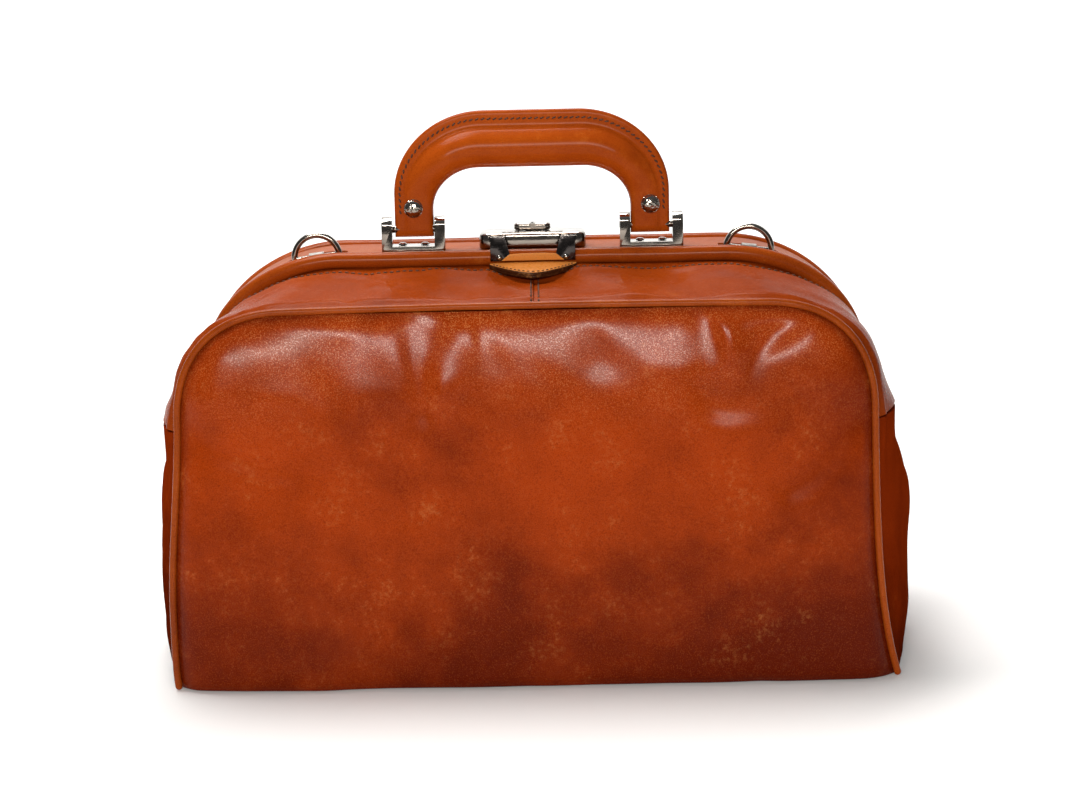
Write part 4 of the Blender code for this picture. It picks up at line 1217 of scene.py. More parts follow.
@dataclass(frozen=True)
class Gussets:
    """Side leather in four parts on each side, on one surface; no part is made to follow the frames."""

    leather: float = 0.0016
    depth: float = 0.0933
    middle: float = 0.0120
    foot: float = 0.00275
    shift: float = 0.0018
    dip: float = 0.0100
    dip_width: float = 0.0180
    follow_start: float = 0.0140
    follow_run: float = 0.0100

    def surface(self, y: Array, z: Array, side: Side) -> Array:
        """Half-width of the side leather: panel edge, bulge, dip beside the legs and soft folds.

        Beyond the legs its upper part is drawn to the feet of the mouth bands.

        Args:
            y: Depths.
            z: Heights.
            side: Left or right.

        Returns:
            Distance from the middle of the bag.
        """
        share = np.clip((y + self.depth) / (2.0 * self.depth), 0.0, 1.0)
        front, back = FORM.half_width(z, side, End.FRONT), FORM.half_width(z, side, End.BACK)
        edge = front * (1.0 - share) + back * share
        inward = 1.0 - np.abs(y / self.depth) ** 2.2
        dip = self.dip * smooth((z - 0.095) / 0.040) * hump(y, self.dip_width)
        seed = 21 if side is Side.LEFT else 25
        folds = 0.0010 * ripple(y * 1.6, z, 0.085, seed) + 0.0002 * ripple(y, z, 0.026, seed + 1)
        calm = np.clip(inward * 2.5, 0.0, 1.0) * smooth((FORM.seam + 0.004 - z) / 0.03)
        roll = 0.0012 * hump(np.abs(y) - 0.074, 0.012) * smooth(z / 0.02)
        plain = edge + (FORM.side_bulge(z) - edge) * inward - dip + (folds + roll) * calm * smooth(z / 0.012)
        plain = plain - side.value * self.shift * inward
        follow = smooth((np.abs(y) - self.follow_start) / self.follow_run) * smooth((z - 0.088) / 0.048)
        return plain + (self.band_foot(y, side) - plain) * follow

    def band_foot(self, y: Array, side: Side) -> Array:
        """Half-width of the lower ends of the mouth bands at each depth.

        Args:
            y: Depths.
            side: Left or right.

        Returns:
            Distance from the middle of the bag.
        """
        front = MouthBands().grid(side, End.FRONT)[0][-1]
        back = MouthBands().grid(side, End.BACK)[0][-1][::-1]
        line = np.vstack([front, back])
        return np.interp(y, line[:, 1], np.abs(line[:, 0]))

    def part(self, side: Side, end: End, inner: bool) -> bpy.types.Object:
        """One part of the side leather.

        Args:
            side: Left or right.
            end: Front or back half.
            inner: Whether it is the strip beside the middle plane.

        Returns:
            The piece.
        """
        reach = (0.0, self.middle) if inner else (self.middle, self.depth)
        y = end.value * np.linspace(*reach, 12 if inner else 60)[None, :]
        z = np.linspace(self.foot, FORM.seam + 0.0002, 110)[:, None]
        x = self.surface(y, z, side)
        # Painted shade along the piping, kept as the "edge" value.
        seam = np.broadcast_to(np.clip(1.0 - (self.depth - np.abs(y)) / SEAM_WIDTH, 0.0, 1.0), x.shape)
        grid = np.stack(np.broadcast_arrays(side.value * x, y, z), axis=2)
        words = ("side", side.name.lower(), end.name.lower(), "middle" if inner else "outer")
        piece = shell("_".join(words), grid, self.leather, edge=seam)
        if inner:
            Crossing(end).middle(piece)
        else:
            Crossing(end).sides(piece)
        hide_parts(f"side_gusset_{side.name.lower()}")
        GUSSET.put_on(piece)
        return piece

    def build(self) -> None:
        """Make the eight parts."""
        for side in Side:
            for end in End:
                report(self.part(side, end, False), self.part(side, end, True))


@dataclass(frozen=True)
class MouthBands:
    """Soft leather between the piping and the mouth frames, sewn together at the middle."""

    leather: float = 0.0016
    root: float = 0.005975
    rows: int = 170
    columns: int = 40
    arch_length: float = 0.30
    seam_reach: float = 0.0012
    tuck_in: float = 0.33
    tuck_under: float = 0.66
    swell_top: float = 0.0005
    swell_side: float = 0.0165
    fold: float = 0.0022
    fold_place: float = 0.0075
    puff: float = 0.0018
    puff_place: float = 0.0150
    hollow: float = 0.0036
    hollow_place: float = 0.0180
    hollow_reach: float = 0.0200
    stitch_gap: float = 0.0140

    def grid(self, side: Side, end: End) -> tuple[Array, Array]:
        """Surface of one half of a band and the distance across it from the piping.

        Each row runs from the piped outline to the frame's roll. Between them it arches out by a
        sine, little at the top and much at the sides, with a fold beside the piping, a puffed edge
        under the roll and, at the front, a hollow for the pull tab.

        Args:
            side: Left or right.
            end: Front or back.

        Returns:
            The grid of points and the distance across it.
        """
        frame, foot = frame_of(end), FORM.seam + 0.0003
        share = np.linspace(0.0, 1.0, self.rows)
        low = resample(FORM.half_arch(side, end, foot), share)
        high = resample(frame.half_arch(foot), share)
        along = unit(np.gradient(high, axis=0))
        normal = np.column_stack([-along[:, 1], along[:, 0]])
        across = np.linspace(0.0, 1.0, self.columns)[None, :]
        drop = np.clip((FORM.top - low[:, 1]) / (FORM.top - FORM.seam), 0.0, 1.0)
        swell = self.swell_top + self.swell_side * drop
        out = np.sin(math.pi * across) ** 0.9 * swell[:, None]
        start_y = end.value * (FORM.plane - FORM.piping - 0.0012)
        end_y = frame.lean(high[:, 1]) + end.value * self.tuck_in * self.root
        tip = high - normal * self.tuck_under * self.root
        width = np.hypot(np.hypot(tip[:, 0] - low[:, 0], tip[:, 1] - low[:, 1]), end_y - start_y)[:, None]
        gap = across * width
        calm = smooth(across / 0.06) * smooth((1.0 - across) / 0.05)
        seed = 41 + int(side.value) + 3 * int(end.value)
        distance = share[:, None] * self.arch_length
        folds = 0.00090 * ripple(distance, gap, 0.060, seed) + 0.00022 * ripple(distance, gap, 0.02, seed + 9)
        fold = self.fold * hump(gap - self.fold_place, 0.0030)
        puff = self.puff * hump(width - gap - self.puff_place, 0.0060)
        stitch_dip = -0.0004 * hump(width - gap - self.stitch_gap, 0.0012)
        middle_dip = -0.0005 * hump(distance, 0.0022)
        out = out + (folds + fold + puff + stitch_dip + middle_dip) * calm
        if end is End.FRONT:
            under_tab = 1.0 - smooth((distance - self.hollow_reach) / 0.014)
            out = out - self.hollow * hump(width - gap - self.hollow_place, 0.0135) * under_tab * calm
        x = low[:, :1] * (1 - across) + tip[:, :1] * across + normal[:, :1] * out
        z = low[:, 1:] * (1 - across) + tip[:, 1:] * across + normal[:, 1:] * out
        y = start_y * (1 - across) + end_y[:, None] * across
        x[0, :] = 0.0001
        return np.stack([side.value * x, y, z], axis=2), gap

    def half(self, side: Side, end: End) -> bpy.types.Object:
        """One half of a band."""
        grid, gap = self.grid(side, end)
        width = gap[:, -1:]
        # Painted shade under the roll and beside the piping, kept as the "edge" value; the first row, at the
        # middle join, is darker too.
        seam = np.clip(1.0 - (width - gap) / SEAM_WIDTH, 0.0, 1.0)
        seam = seam + np.clip(1.0 - gap / 0.004, 0.0, 1.0) * 0.7
        seam[0, :] = 0.9
        name = f"{end.name.lower()}_band_{side.name.lower()}"
        piece = shell(f"{name}_leather", grid, self.leather, edge=seam)
        Crossing(end).band(piece)
        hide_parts(name)
        BAND.put_on(piece)
        return piece

    def seam(self, side: Side, end: End) -> bpy.types.Object:
        """Stitches along the edge under the roll, on one half of a band."""
        grid, gap = self.grid(side, end)
        width = gap[:, -1]
        share = 1.0 - self.stitch_gap / width
        place = share * (self.columns - 1)
        number = place.astype(int)
        part = (place - number)[:, None]
        rows = np.arange(self.rows)
        line = grid[rows, number] * (1.0 - part) + grid[rows, number + 1] * part
        normal = grid_normals(grid, BAG_MIDDLE)[rows, number]
        length = arc_lengths(line)
        count = int(length[-1] / 0.0036)
        even = np.linspace(0.004, length[-1] - 0.012, count)
        middle = np.column_stack([np.interp(even, length, line[:, k]) for k in range(3)])
        out = np.column_stack([np.interp(even, length, normal[:, k]) for k in range(3)])
        name = f"{end.name.lower()}_band_stitches_{side.name.lower()}"
        piece = stitches(name, middle, np.gradient(middle, axis=0), out, 0.0026, 0.00048)
        Crossing(end).band(piece)
        THREAD.put_on(piece)
        return piece

    def middle_seam(self, side: Side, end: End) -> bpy.types.Object:
        """Stitches beside the join of the two halves, from the piping to the roll."""
        grid, _ = self.grid(side, end)
        length = np.cumsum(np.linalg.norm(np.diff(grid[:, 0], axis=0), axis=1))
        row = int(np.searchsorted(length, self.seam_reach)) + 1
        line, normal = grid[row, 2:-5], grid_normals(grid, BAG_MIDDLE)[row, 2:-5]
        count = int(arc_lengths(line)[-1] / 0.0034)
        middle = resample(line, np.linspace(0.02, 0.98, count))
        out = resample(normal, np.linspace(0.02, 0.98, count))
        name = f"{end.name.lower()}_middle_stitches_{side.name.lower()}"
        piece = stitches(name, middle, np.gradient(middle, axis=0), out, 0.0024, 0.00046)
        Crossing(end).band(piece)
        THREAD.put_on(piece)
        return piece

    def build(self) -> None:
        """Make both bands and their seams."""
        for end in End:
            for side in Side:
                report(self.half(side, end), self.seam(side, end), self.middle_seam(side, end))


@dataclass(frozen=True)
class Lining:
    """Cloth pouch inside the body, low at the sides and higher at the front and back."""

    half_x: float = 0.1755
    half_y: float = 0.0905
    low: float = 0.0060
    side_top: float = 0.0900
    tongue_top: float = 0.1500
    tongue_x: float = 0.1350
    power: float = 9.0
    clearance: float = 0.0018
    cloth: float = 0.0008
    rings: int = 60
    points: int = 240

    def build(self) -> None:
        """Make the pouch: rounded rings from the middle of its floor out and up its walls.

        A ring is a superellipse. Its size grows along the floor, then its height grows to the rim,
        which is higher at the front and back, and the walls are softly wrinkled.
        """
        turn = np.linspace(0.0, 2.0 * math.pi, self.points, endpoint=False)[None, :]
        cosine, sine = np.cos(turn), np.sin(turn)
        size = (np.abs(cosine) ** self.power + np.abs(sine) ** self.power) ** (-1.0 / self.power)
        out_x, out_y = cosine * size, sine * size
        share = np.linspace(0.0, 1.0, self.rings)[:, None]
        floor = np.clip(share / 0.4, 0.02, 1.0)
        wall = np.clip((share - 0.4) / 0.6, 0.0, 1.0)
        rim = self.side_top + (self.tongue_top - self.side_top) * smooth(
            (self.tongue_x + 0.012 - np.abs(out_x) * self.half_x) / 0.024)
        z = self.low + (rim - self.low) * wall ** 1.15
        wave = ripple(np.broadcast_to(turn * 0.09, z.shape), z, 0.05, 61) * 0.00055
        pull = 1.0 - 0.004 * smooth(wall * 8.0)
        shrink = wave * smooth(wall * 5.0) - self.clearance
        x = out_x * (self.half_x * floor * pull + shrink * floor)
        y = out_y * (self.half_y * floor * pull + shrink * floor)
        grid = np.stack(np.broadcast_arrays(x, y, z), axis=2)
        faces = grid_faces(self.rings, self.points, False, True).tolist()
        faces.append(list(range(self.points)))
        piece = lay("lining_pouch", grid.reshape(-1, 3), faces)
        cloth = piece.modifiers.new("cloth", 'SOLIDIFY')
        cloth.thickness = self.cloth
        cloth.offset = -1.0
        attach(piece, "bag_body")
        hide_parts("inner_lining")
        LINING.put_on(piece)
        report(piece)


# ---- mouth frames -------------------------------------------------------------------------
@dataclass(frozen=True)
class Rolls:
    """Leather rolled round the mouth frames' rods, and the strip that covers the back frame's top."""

    leg_end: float = 0.1340
    strip_end: float = 0.1385
    rise: float = 0.0028
    thickness: float = 0.0050

    def roll(self, end: End) -> bpy.types.Object:
        """Round roll along a frame, slightly uneven."""
        frame = frame_of(end)
        path = resample(frame.path(self.leg_end), np.linspace(0.0, 1.0, 420))
        path[:, 2] += 0.00018 * ripple(path[:, 0], path[:, 2], 0.05, 71)
        name = f"{end.name.lower()}_roll_leather"
        piece = tube(name, path, frame.roll, 20, (0.0, 1.0, 0.0))
        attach(piece, body_of(end))
        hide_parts(f"{end.name.lower()}_frame_roll")
        ROLL.put_on(piece)
        return piece

    def strip(self) -> bpy.types.Object:
        """Leather-covered top between the rolls, with a recess for each D-ring.

        Each ring of the body spans from one roll to the other, square to the frame's arch, and its
        upper face is lightly crowned.
        """
        half = FRONT_FRAME.half_arch(self.strip_end)
        arch = np.vstack([half[:0:-1] * np.array([-1.0, 1.0]), half])
        arch = resample(arch, np.linspace(0.0, 1.0, 260))
        along = unit(np.gradient(arch, axis=0))
        normal = np.column_stack([-along[:, 1], along[:, 0]])
        margin = FRONT_FRAME.roll + 0.00035
        near = (FRONT_FRAME.lean(arch[:, 1]) + margin)[:, None]
        far = (BACK_FRAME.lean(arch[:, 1]) - margin)[:, None]
        share = np.linspace(0.0, 1.0, 15)[None, :]
        edge = 0.0007 * (hump(share, 0.05) + hump(1.0 - share, 0.05))
        crown = 0.0002 * np.sin(math.pi * share) - edge
        y = np.concatenate([near + (far - near) * share, far + (near - far) * share], axis=1)
        under = np.full_like(crown, self.rise - self.thickness)
        out = np.concatenate([self.rise + crown, under], axis=1)
        out = np.broadcast_to(out, y.shape)
        x = arch[:, :1] + normal[:, :1] * out
        z = arch[:, 1:] + normal[:, 1:] * out
        piece = loft("frame_top_leather", np.stack([x, y, z], axis=2))
        cuts = [Rings().recess(side) for side in Side]
        joined(piece, *cuts, operation='DIFFERENCE')
        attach(piece, "back_frame")
        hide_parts("frame_top_strip")
        TOP.put_on(piece)
        return piece

    def build(self) -> None:
        """Make both rolls and the strip."""
        report(self.roll(End.FRONT), self.roll(End.BACK), self.strip())


@dataclass(frozen=True)
class Rings:
    """Wire D-rings in their recesses, one near each end of the top strip."""

    x: float = 0.1165
    y: float = -0.0110
    z: float = 0.2156
    radius: float = 0.0122
    wire: float = 0.0017
    tilt: float = 7.0

    def placed(self, points: Array, side: Side) -> Array:
        """Points of the ring's own frame, tilted with the mouth frame and moved to their place."""
        turn = math.radians(side.value * self.tilt)
        x = points[:, 0] * math.cos(turn) + points[:, 2] * math.sin(turn)
        z = points[:, 2] * math.cos(turn) - points[:, 0] * math.sin(turn)
        return np.column_stack([x + side.value * self.x, points[:, 1] + self.y, z + self.z])

    def recess(self, side: Side) -> bpy.types.Object:
        """Body of the recess that a ring's straight bar lies in."""
        outline = rounded_rectangle((-0.0165, -0.0042), (0.0165, 0.0082), 0.0020)
        body = prism("ring_recess", outline, -0.0022, 0.0100, 2)
        points = np.empty(len(body.data.vertices) * 3)
        body.data.vertices.foreach_get("co", points)
        body.data.vertices.foreach_set("co", self.placed(points.reshape(-1, 3), side).ravel())
        return body

    def ring(self, side: Side) -> bpy.types.Object:
        """One D-ring: half a circle and its straight bar, with softly bent corners."""
        angle = np.linspace(0.0, math.pi, 61)
        arc = np.column_stack([np.cos(angle), np.zeros(61), np.sin(angle)]) * self.radius
        bar = np.column_stack([np.linspace(-self.radius, self.radius, 30)[1:-1], np.zeros(28), np.zeros(28)])
        path = resample(np.vstack([arc, bar, arc[:1]]), np.linspace(0.0, 1.0, 121)[:-1])
        for _ in range(3):
            path = (np.roll(path, 1, axis=0) + 2.0 * path + np.roll(path, -1, axis=0)) / 4.0
        name = f"d_ring_{side.name.lower()}"
        piece = tube(f"{name}_wire", self.placed(path, side), self.wire, 16, (0.0, 1.0, 0.0), True)
        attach(piece, name)
        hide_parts(name)
        NICKEL.put_on(piece)
        return piece

    def build(self) -> None:
        """Make both rings."""
        report(self.ring(Side.LEFT), self.ring(Side.RIGHT))


# ---- striker, tab and lock ----------------------------------------------------------------
@dataclass(frozen=True)
class Striker:
    """Forked plate on the front frame whose arms bend back into the lock case."""

    front: float = -0.02765
    back: float = -0.02665
    half: float = 0.0227
    arm: float = 0.0149
    notch: float = 0.0122
    low: float = 0.2137
    notch_z: float = 0.2170
    top: float = 0.2268

    def plate(self) -> bpy.types.Object:
        """Plate with a notch between its arms, and hooks that reach back from the arms' tops."""
        outline = np.array([(-self.half, self.low), (self.half, self.low), (self.half, self.top),
                            (self.arm, self.top), (self.notch, self.notch_z), (-self.notch, self.notch_z),
                            (-self.arm, self.top), (-self.half, self.top)])
        plate = prism("striker_fork", outline, self.front, self.back, 1)
        arms = []
        for side in Side:
            x = sorted((side.value * (self.arm + 0.0004), side.value * (self.half - 0.0004)))
            hook = rounded_rectangle((x[0], self.front + 0.0003), (x[1], -0.0116), 0.0004, 3)
            arms.append(prism("hook", hook, 0.2247, 0.2259, 2))
            x = sorted((side.value * 0.0168, side.value * 0.0204))
            lip = rounded_rectangle((x[0], -0.0129), (x[1], -0.0117), 0.0003, 3)
            arms.append(prism("lip", lip, 0.2212, 0.2252, 2))
        joined(plate, *arms, rounding=0.00042)
        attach(plate, "front_frame")
        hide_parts("striker_plate")
        SHADED_NICKEL.put_on(plate)
        return plate

    def rivet(self, side: Side) -> bpy.types.Object:
        """Domed rivet that holds the plate."""
        turn = np.linspace(0.0, math.pi / 2, 9)
        dome = np.column_stack([-0.0013 * np.cos(turn), 0.0016 * np.sin(turn)])
        profile = np.vstack([dome, [(0.0, 0.0007), (0.0030, 0.0007), (0.0030, 0.0)]])
        place = (side.value * 0.0178, self.front - 0.0001, 0.2155)
        name = f"striker_rivet_{side.name.lower()}"
        piece = turned(f"{name}_dome", profile, place, (0.0, 1.0, 0.0), 24)
        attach(piece, "front_frame")
        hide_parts(name)
        NICKEL.put_on(piece)
        return piece

    def build(self) -> None:
        """Make the plate and its rivets."""
        report(self.plate(), self.rivet(Side.LEFT), self.rivet(Side.RIGHT))


@dataclass(frozen=True)
class PullTab:
    """Two-layer leather tab under the striker, with a curved, stitched free edge."""

    half: float = 0.0234
    length: float = 0.0228
    thickness: float = 0.0032
    pivot: Point = (0.0, -0.0283, 0.2116)
    droop: float = 7.0
    burnish: float = 7.0

    def placed(self, points: Array) -> Array:
        """Points of the tab's own frame, drooping at its pivot."""
        turn = math.radians(self.droop)
        y = points[..., 1] * math.cos(turn) - points[..., 2] * math.sin(turn)
        z = points[..., 1] * math.sin(turn) + points[..., 2] * math.cos(turn)
        return np.stack([points[..., 0], y, z], axis=-1) + np.array(self.pivot)

    def reach(self, across: Array) -> Array:
        """Length of the tab at a place across it, from -1 to 1."""
        return self.length * (1.0 - 0.88 * np.abs(across) ** 1.7)

    def arch(self, across: Array, along: Array) -> Array:
        """Height of the tab's middle layer: curled down at its sides and tip, dipped at the root."""
        return -0.00066 * np.abs(across) ** 2.5 - 0.0009 * along ** 2 + 0.0006 * along * (1 - across ** 2)

    def leather(self) -> bpy.types.Object:
        """Tab body: at each place across it, a flat loop whose free end is half round.

        The loop goes along the upper face, round the edge with the elliptic profile of the cut
        layers, which has a groove between them, and back along the lower face.
        """
        across = np.sin(np.linspace(-1.0, 1.0, 75) * math.pi / 2)[:, None] * 0.999
        half = self.thickness / 2
        face = np.linspace(0.0, 1.0, 26)[None, :]
        turn = np.linspace(math.pi / 2, -math.pi / 2, 13)[1:-1][None, :]
        span = self.reach(across) - half * 0.7
        y = np.concatenate([span * face, span + half * 0.7 * np.cos(turn) * (1.0 - 0.35 * hump(turn, 0.22)),
                            span * face[:, ::-1]], axis=1)
        high = np.concatenate([half + 0.0 * face, half * np.sin(turn), -half + 0.0 * face], axis=1)
        along = np.clip(y / self.length, 0.0, 1.0)
        z = high + self.arch(across, along)
        x = np.broadcast_to(across * self.half, y.shape)
        border = np.minimum(self.reach(across) - y, (1.0 - np.abs(across)) * self.half * 3.0)
        edge = np.clip(1.0 - (border - 0.0006) / 0.0009, 0.0, 1.0) * self.burnish
        rings = self.placed(np.stack([x, -y, z], axis=2))
        piece = loft("pull_tab_leather", rings, edge)
        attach(piece, "pull_tab")
        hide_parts("pull_tab")
        TAB.put_on(piece)
        return piece

    def root(self) -> bpy.types.Object:
        """Upper layer of the tab, held over the striker's lower bar between its arms."""
        outline = np.array([(-0.0170, 0.21395), (0.0170, 0.21395), (0.0125, 0.21745), (0.0060, 0.21790),
                            (-0.0060, 0.21780), (-0.0125, 0.21745)])
        piece = prism("pull_tab_root", outline, -0.0294, -0.0277, 1)
        joined(piece, rounding=0.0006)
        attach(piece, "front_frame")
        TAB.put_on(piece)
        return piece

    def seam(self) -> bpy.types.Object:
        """Stitches beside the curved edge."""
        across = np.linspace(-0.90, 0.90, 200)
        y = self.reach(across) - 0.0028
        keep = y > 0.0015
        across, y = across[keep], y[keep]
        z = self.thickness / 2 + self.arch(across, y / self.length)
        line = self.placed(np.column_stack([across * self.half, -y, z]))
        middle = resample(line, np.linspace(0.01, 0.99, 21))
        upward = np.broadcast_to(np.array([0.0, -0.12, 0.99]), middle.shape)
        piece = stitches("pull_tab_stitches", middle, np.gradient(middle, axis=0), upward, 0.0019, 0.00034)
        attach(piece, "pull_tab")
        THREAD.put_on(piece)
        return piece

    def build(self) -> None:
        """Make the tab and its seam."""
        report(self.leather(), self.root(), self.seam())


@dataclass(frozen=True)
class Lock:
    """Lock case on the back frame, with its slide knob."""

    half: float = 0.0287
    front: float = -0.0165
    back: float = 0.0075
    low: float = 0.21815
    top: float = 0.2275
    wall: float = 0.0011
    travel: float = 0.0050
    knob_half: float = 0.0099
    knob_depth: float = 0.0055
    knob_top: float = 0.2316
    spring_start: float = 0.0057
    spring_end: float = 0.0200
    spring_z: float = 0.22105
    spring_keep: float = 0.62
    turns: float = 5.0
    coil: float = 0.0015
    coil_wire: float = 0.00033

    @property
    def middle(self) -> float:
        """Depth of the lock's middle."""
        return (self.front + self.back) / 2

    def case(self) -> bpy.types.Object:
        """Hollow case with rounded edges, a raised rail over its middle, and slots for arms and stem."""
        outer = rounded_rectangle((-self.half, self.front), (self.half, self.back), 0.0058, 10)
        case = prism("lock_case_shell", outer, self.low, self.top - 0.0004, 2)
        joined(case, rounding=0.0016)
        rail = rounded_rectangle((-0.0165, self.middle - 0.0090), (0.0165, self.middle + 0.0090), 0.0030)
        joined(case, prism("rail", rail, self.top - 0.0020, self.top, 2), rounding=0.0003)
        hollow = rounded_rectangle((-self.half + self.wall, self.front + self.wall),
                                   (self.half - self.wall, self.back - self.wall), 0.0036)
        cuts = [prism("hollow", hollow, self.low - 0.002, self.top - self.wall - 0.0006, 2)]
        for side in Side:
            slot = rounded_rectangle((side.value * 0.0188 - 0.0046, 0.2226),
                                     (side.value * 0.0188 + 0.0046, self.top - self.wall - 0.0001), 0.0004, 4)
            cuts.append(prism("arm_slot", slot, self.front - 0.002, self.front + 0.002, 1))
        stem = rounded_rectangle((-0.0040, self.middle - 0.0024),
                                 (0.0040 + self.travel, self.middle + 0.0024), 0.0010, 4)
        cuts.append(prism("stem_slot", stem, 0.2250, 0.2300, 2))
        joined(case, *cuts, operation='DIFFERENCE')
        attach(case, "back_frame")
        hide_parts("lock_case")
        NICKEL.put_on(case)
        return case

    def knob(self) -> bpy.types.Object:
        """Rounded knob on its stem, with a keyhole in its top and a small notch at its front."""
        outline = rounded_rectangle((-self.knob_half, self.middle - self.knob_depth),
                                    (self.knob_half, self.middle + self.knob_depth), 0.0034, 10)
        knob = prism("lock_knob_cap", outline, self.top + 0.00035, self.knob_top, 2)
        joined(knob, rounding=0.0011)
        stem = rounded_rectangle((-0.0036, self.middle - 0.0020), (0.0036, self.middle + 0.0020), 0.0006, 4)
        joined(knob, prism("stem", stem, 0.2212, self.top + 0.0012, 2))
        key = prism("key_round", circle(0.0012, 24) + np.array([0.0, self.middle]), self.knob_top - 0.0022,
                    self.knob_top + 0.001, 2)
        slit = rounded_rectangle((-0.00045, self.middle - 0.0034), (0.00045, self.middle), 0.0002, 3)
        notch = rounded_rectangle((-0.0016, self.middle - self.knob_depth - 0.001),
                                  (0.0016, self.middle - self.knob_depth + 0.0007), 0.0003, 3)
        joined(knob, key, prism("key_slit", slit, self.knob_top - 0.0022, self.knob_top + 0.001, 2),
               prism("notch", notch, self.knob_top - 0.0016, self.knob_top + 0.001, 2),
               operation='DIFFERENCE')
        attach(knob, "lock_slide")
        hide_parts("lock_knob")
        NICKEL.put_on(knob)
        return knob

    def spring(self) -> bpy.types.Object:
        """Coil between the bolt's arm and its tooth, at one fixed length; the slide does not squash it."""
        turn = np.linspace(0.0, self.turns * 2.0 * math.pi, 200)
        x = np.linspace(self.spring_start, self.spring_end, len(turn))
        path = np.column_stack([x, self.middle + self.coil * np.cos(turn),
                                self.spring_z + self.coil * np.sin(turn)])
        piece = tube("lock_spring_coil", path, self.coil_wire, 8, (1.0, 0.0, 0.0))
        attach(piece, "back_frame")
        self.middle
        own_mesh(piece)
        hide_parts("lock_spring")
        STEEL.put_on(piece)
        return piece

    def build(self) -> None:
        """Make the case, the knob and the spring."""
        report(self.case(), self.knob(), self.spring())


# ---- handle -------------------------------------------------------------------------------
@dataclass(frozen=True)
class Brackets:
    """Forked bracket and cross-bar for each end of the handle."""

    x: float = 0.0640
    width: float = 0.0340
    depth: float = 0.0140
    low: float = 0.21815
    base: float = 0.0030
    top: float = 0.2370
    post: float = 0.0056
    bar: float = 0.0020
    bar_y: float = -0.0105
    bar_z: float = 0.2300

    def bracket(self, side: Side) -> bpy.types.Object:
        """Base plate with a post at each end, its edges rounded and its bar hole bored."""
        middle, half = side.value * self.x, self.depth / 2
        plate = rounded_rectangle((middle - self.width / 2, self.bar_y - half),
                                  (middle + self.width / 2, self.bar_y + half), 0.0012, 5)
        piece = prism(f"handle_bracket_{side.name.lower()}_cast", plate, self.low, self.low + self.base, 2)
        turn = np.linspace(0.0, math.pi, 17)
        crest = np.column_stack([self.bar_y + half * np.cos(turn), self.top - 0.0045 + 0.0045 * np.sin(turn)])
        foot = self.low + 0.0004
        outline = np.vstack([crest, [(self.bar_y - half, foot), (self.bar_y + half, foot)]])
        posts = []
        for shift in (-1.0, 1.0):
            outer = middle + shift * self.width / 2
            start, end = sorted((outer, outer - shift * self.post))
            posts.append(prism("post", outline, start, end, 0))
        joined(piece, *posts, rounding=0.0008)
        bore = circle(self.bar + 0.00035, 24) + np.array([self.bar_y, self.bar_z])
        cuts = [prism("bar_bore", bore, middle - 0.02, middle + 0.02, 0)]
        for shift in (-0.0060, 0.0060):
            hole = circle(0.0014, 16) + np.array([middle + shift, self.bar_y])
            cuts.append(prism("screw_hole", hole, self.low - 0.002, self.low + 0.006, 2))
        joined(piece, *cuts, operation='DIFFERENCE')
        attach(piece, "back_frame")
        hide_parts(f"handle_bracket_{side.name.lower()}")
        NICKEL.put_on(piece)
        return piece

    def cross_bar(self, side: Side) -> bpy.types.Object:
        """Round bar through the posts, with rounded ends."""
        reach = self.width / 2 - 0.0004
        turn = np.linspace(0.0, math.pi / 2, 6)
        cap = np.column_stack([-reach + 0.0006 * (1.0 - np.sin(turn[::-1])), self.bar * np.cos(turn[::-1])])
        profile = np.vstack([cap, cap[::-1] * np.array([-1.0, 1.0])])
        name = f"handle_bar_{side.name.lower()}"
        centre = (side.value * self.x, self.bar_y, self.bar_z)
        piece = turned(f"{name}_rod", profile, centre, (1.0, 0.0, 0.0), 24)
        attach(piece, "back_frame")
        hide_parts(name)
        NICKEL.put_on(piece)
        return piece

    def build(self) -> None:
        """Make the brackets and bars."""
        for side in Side:
            report(self.bracket(side), self.cross_bar(side))


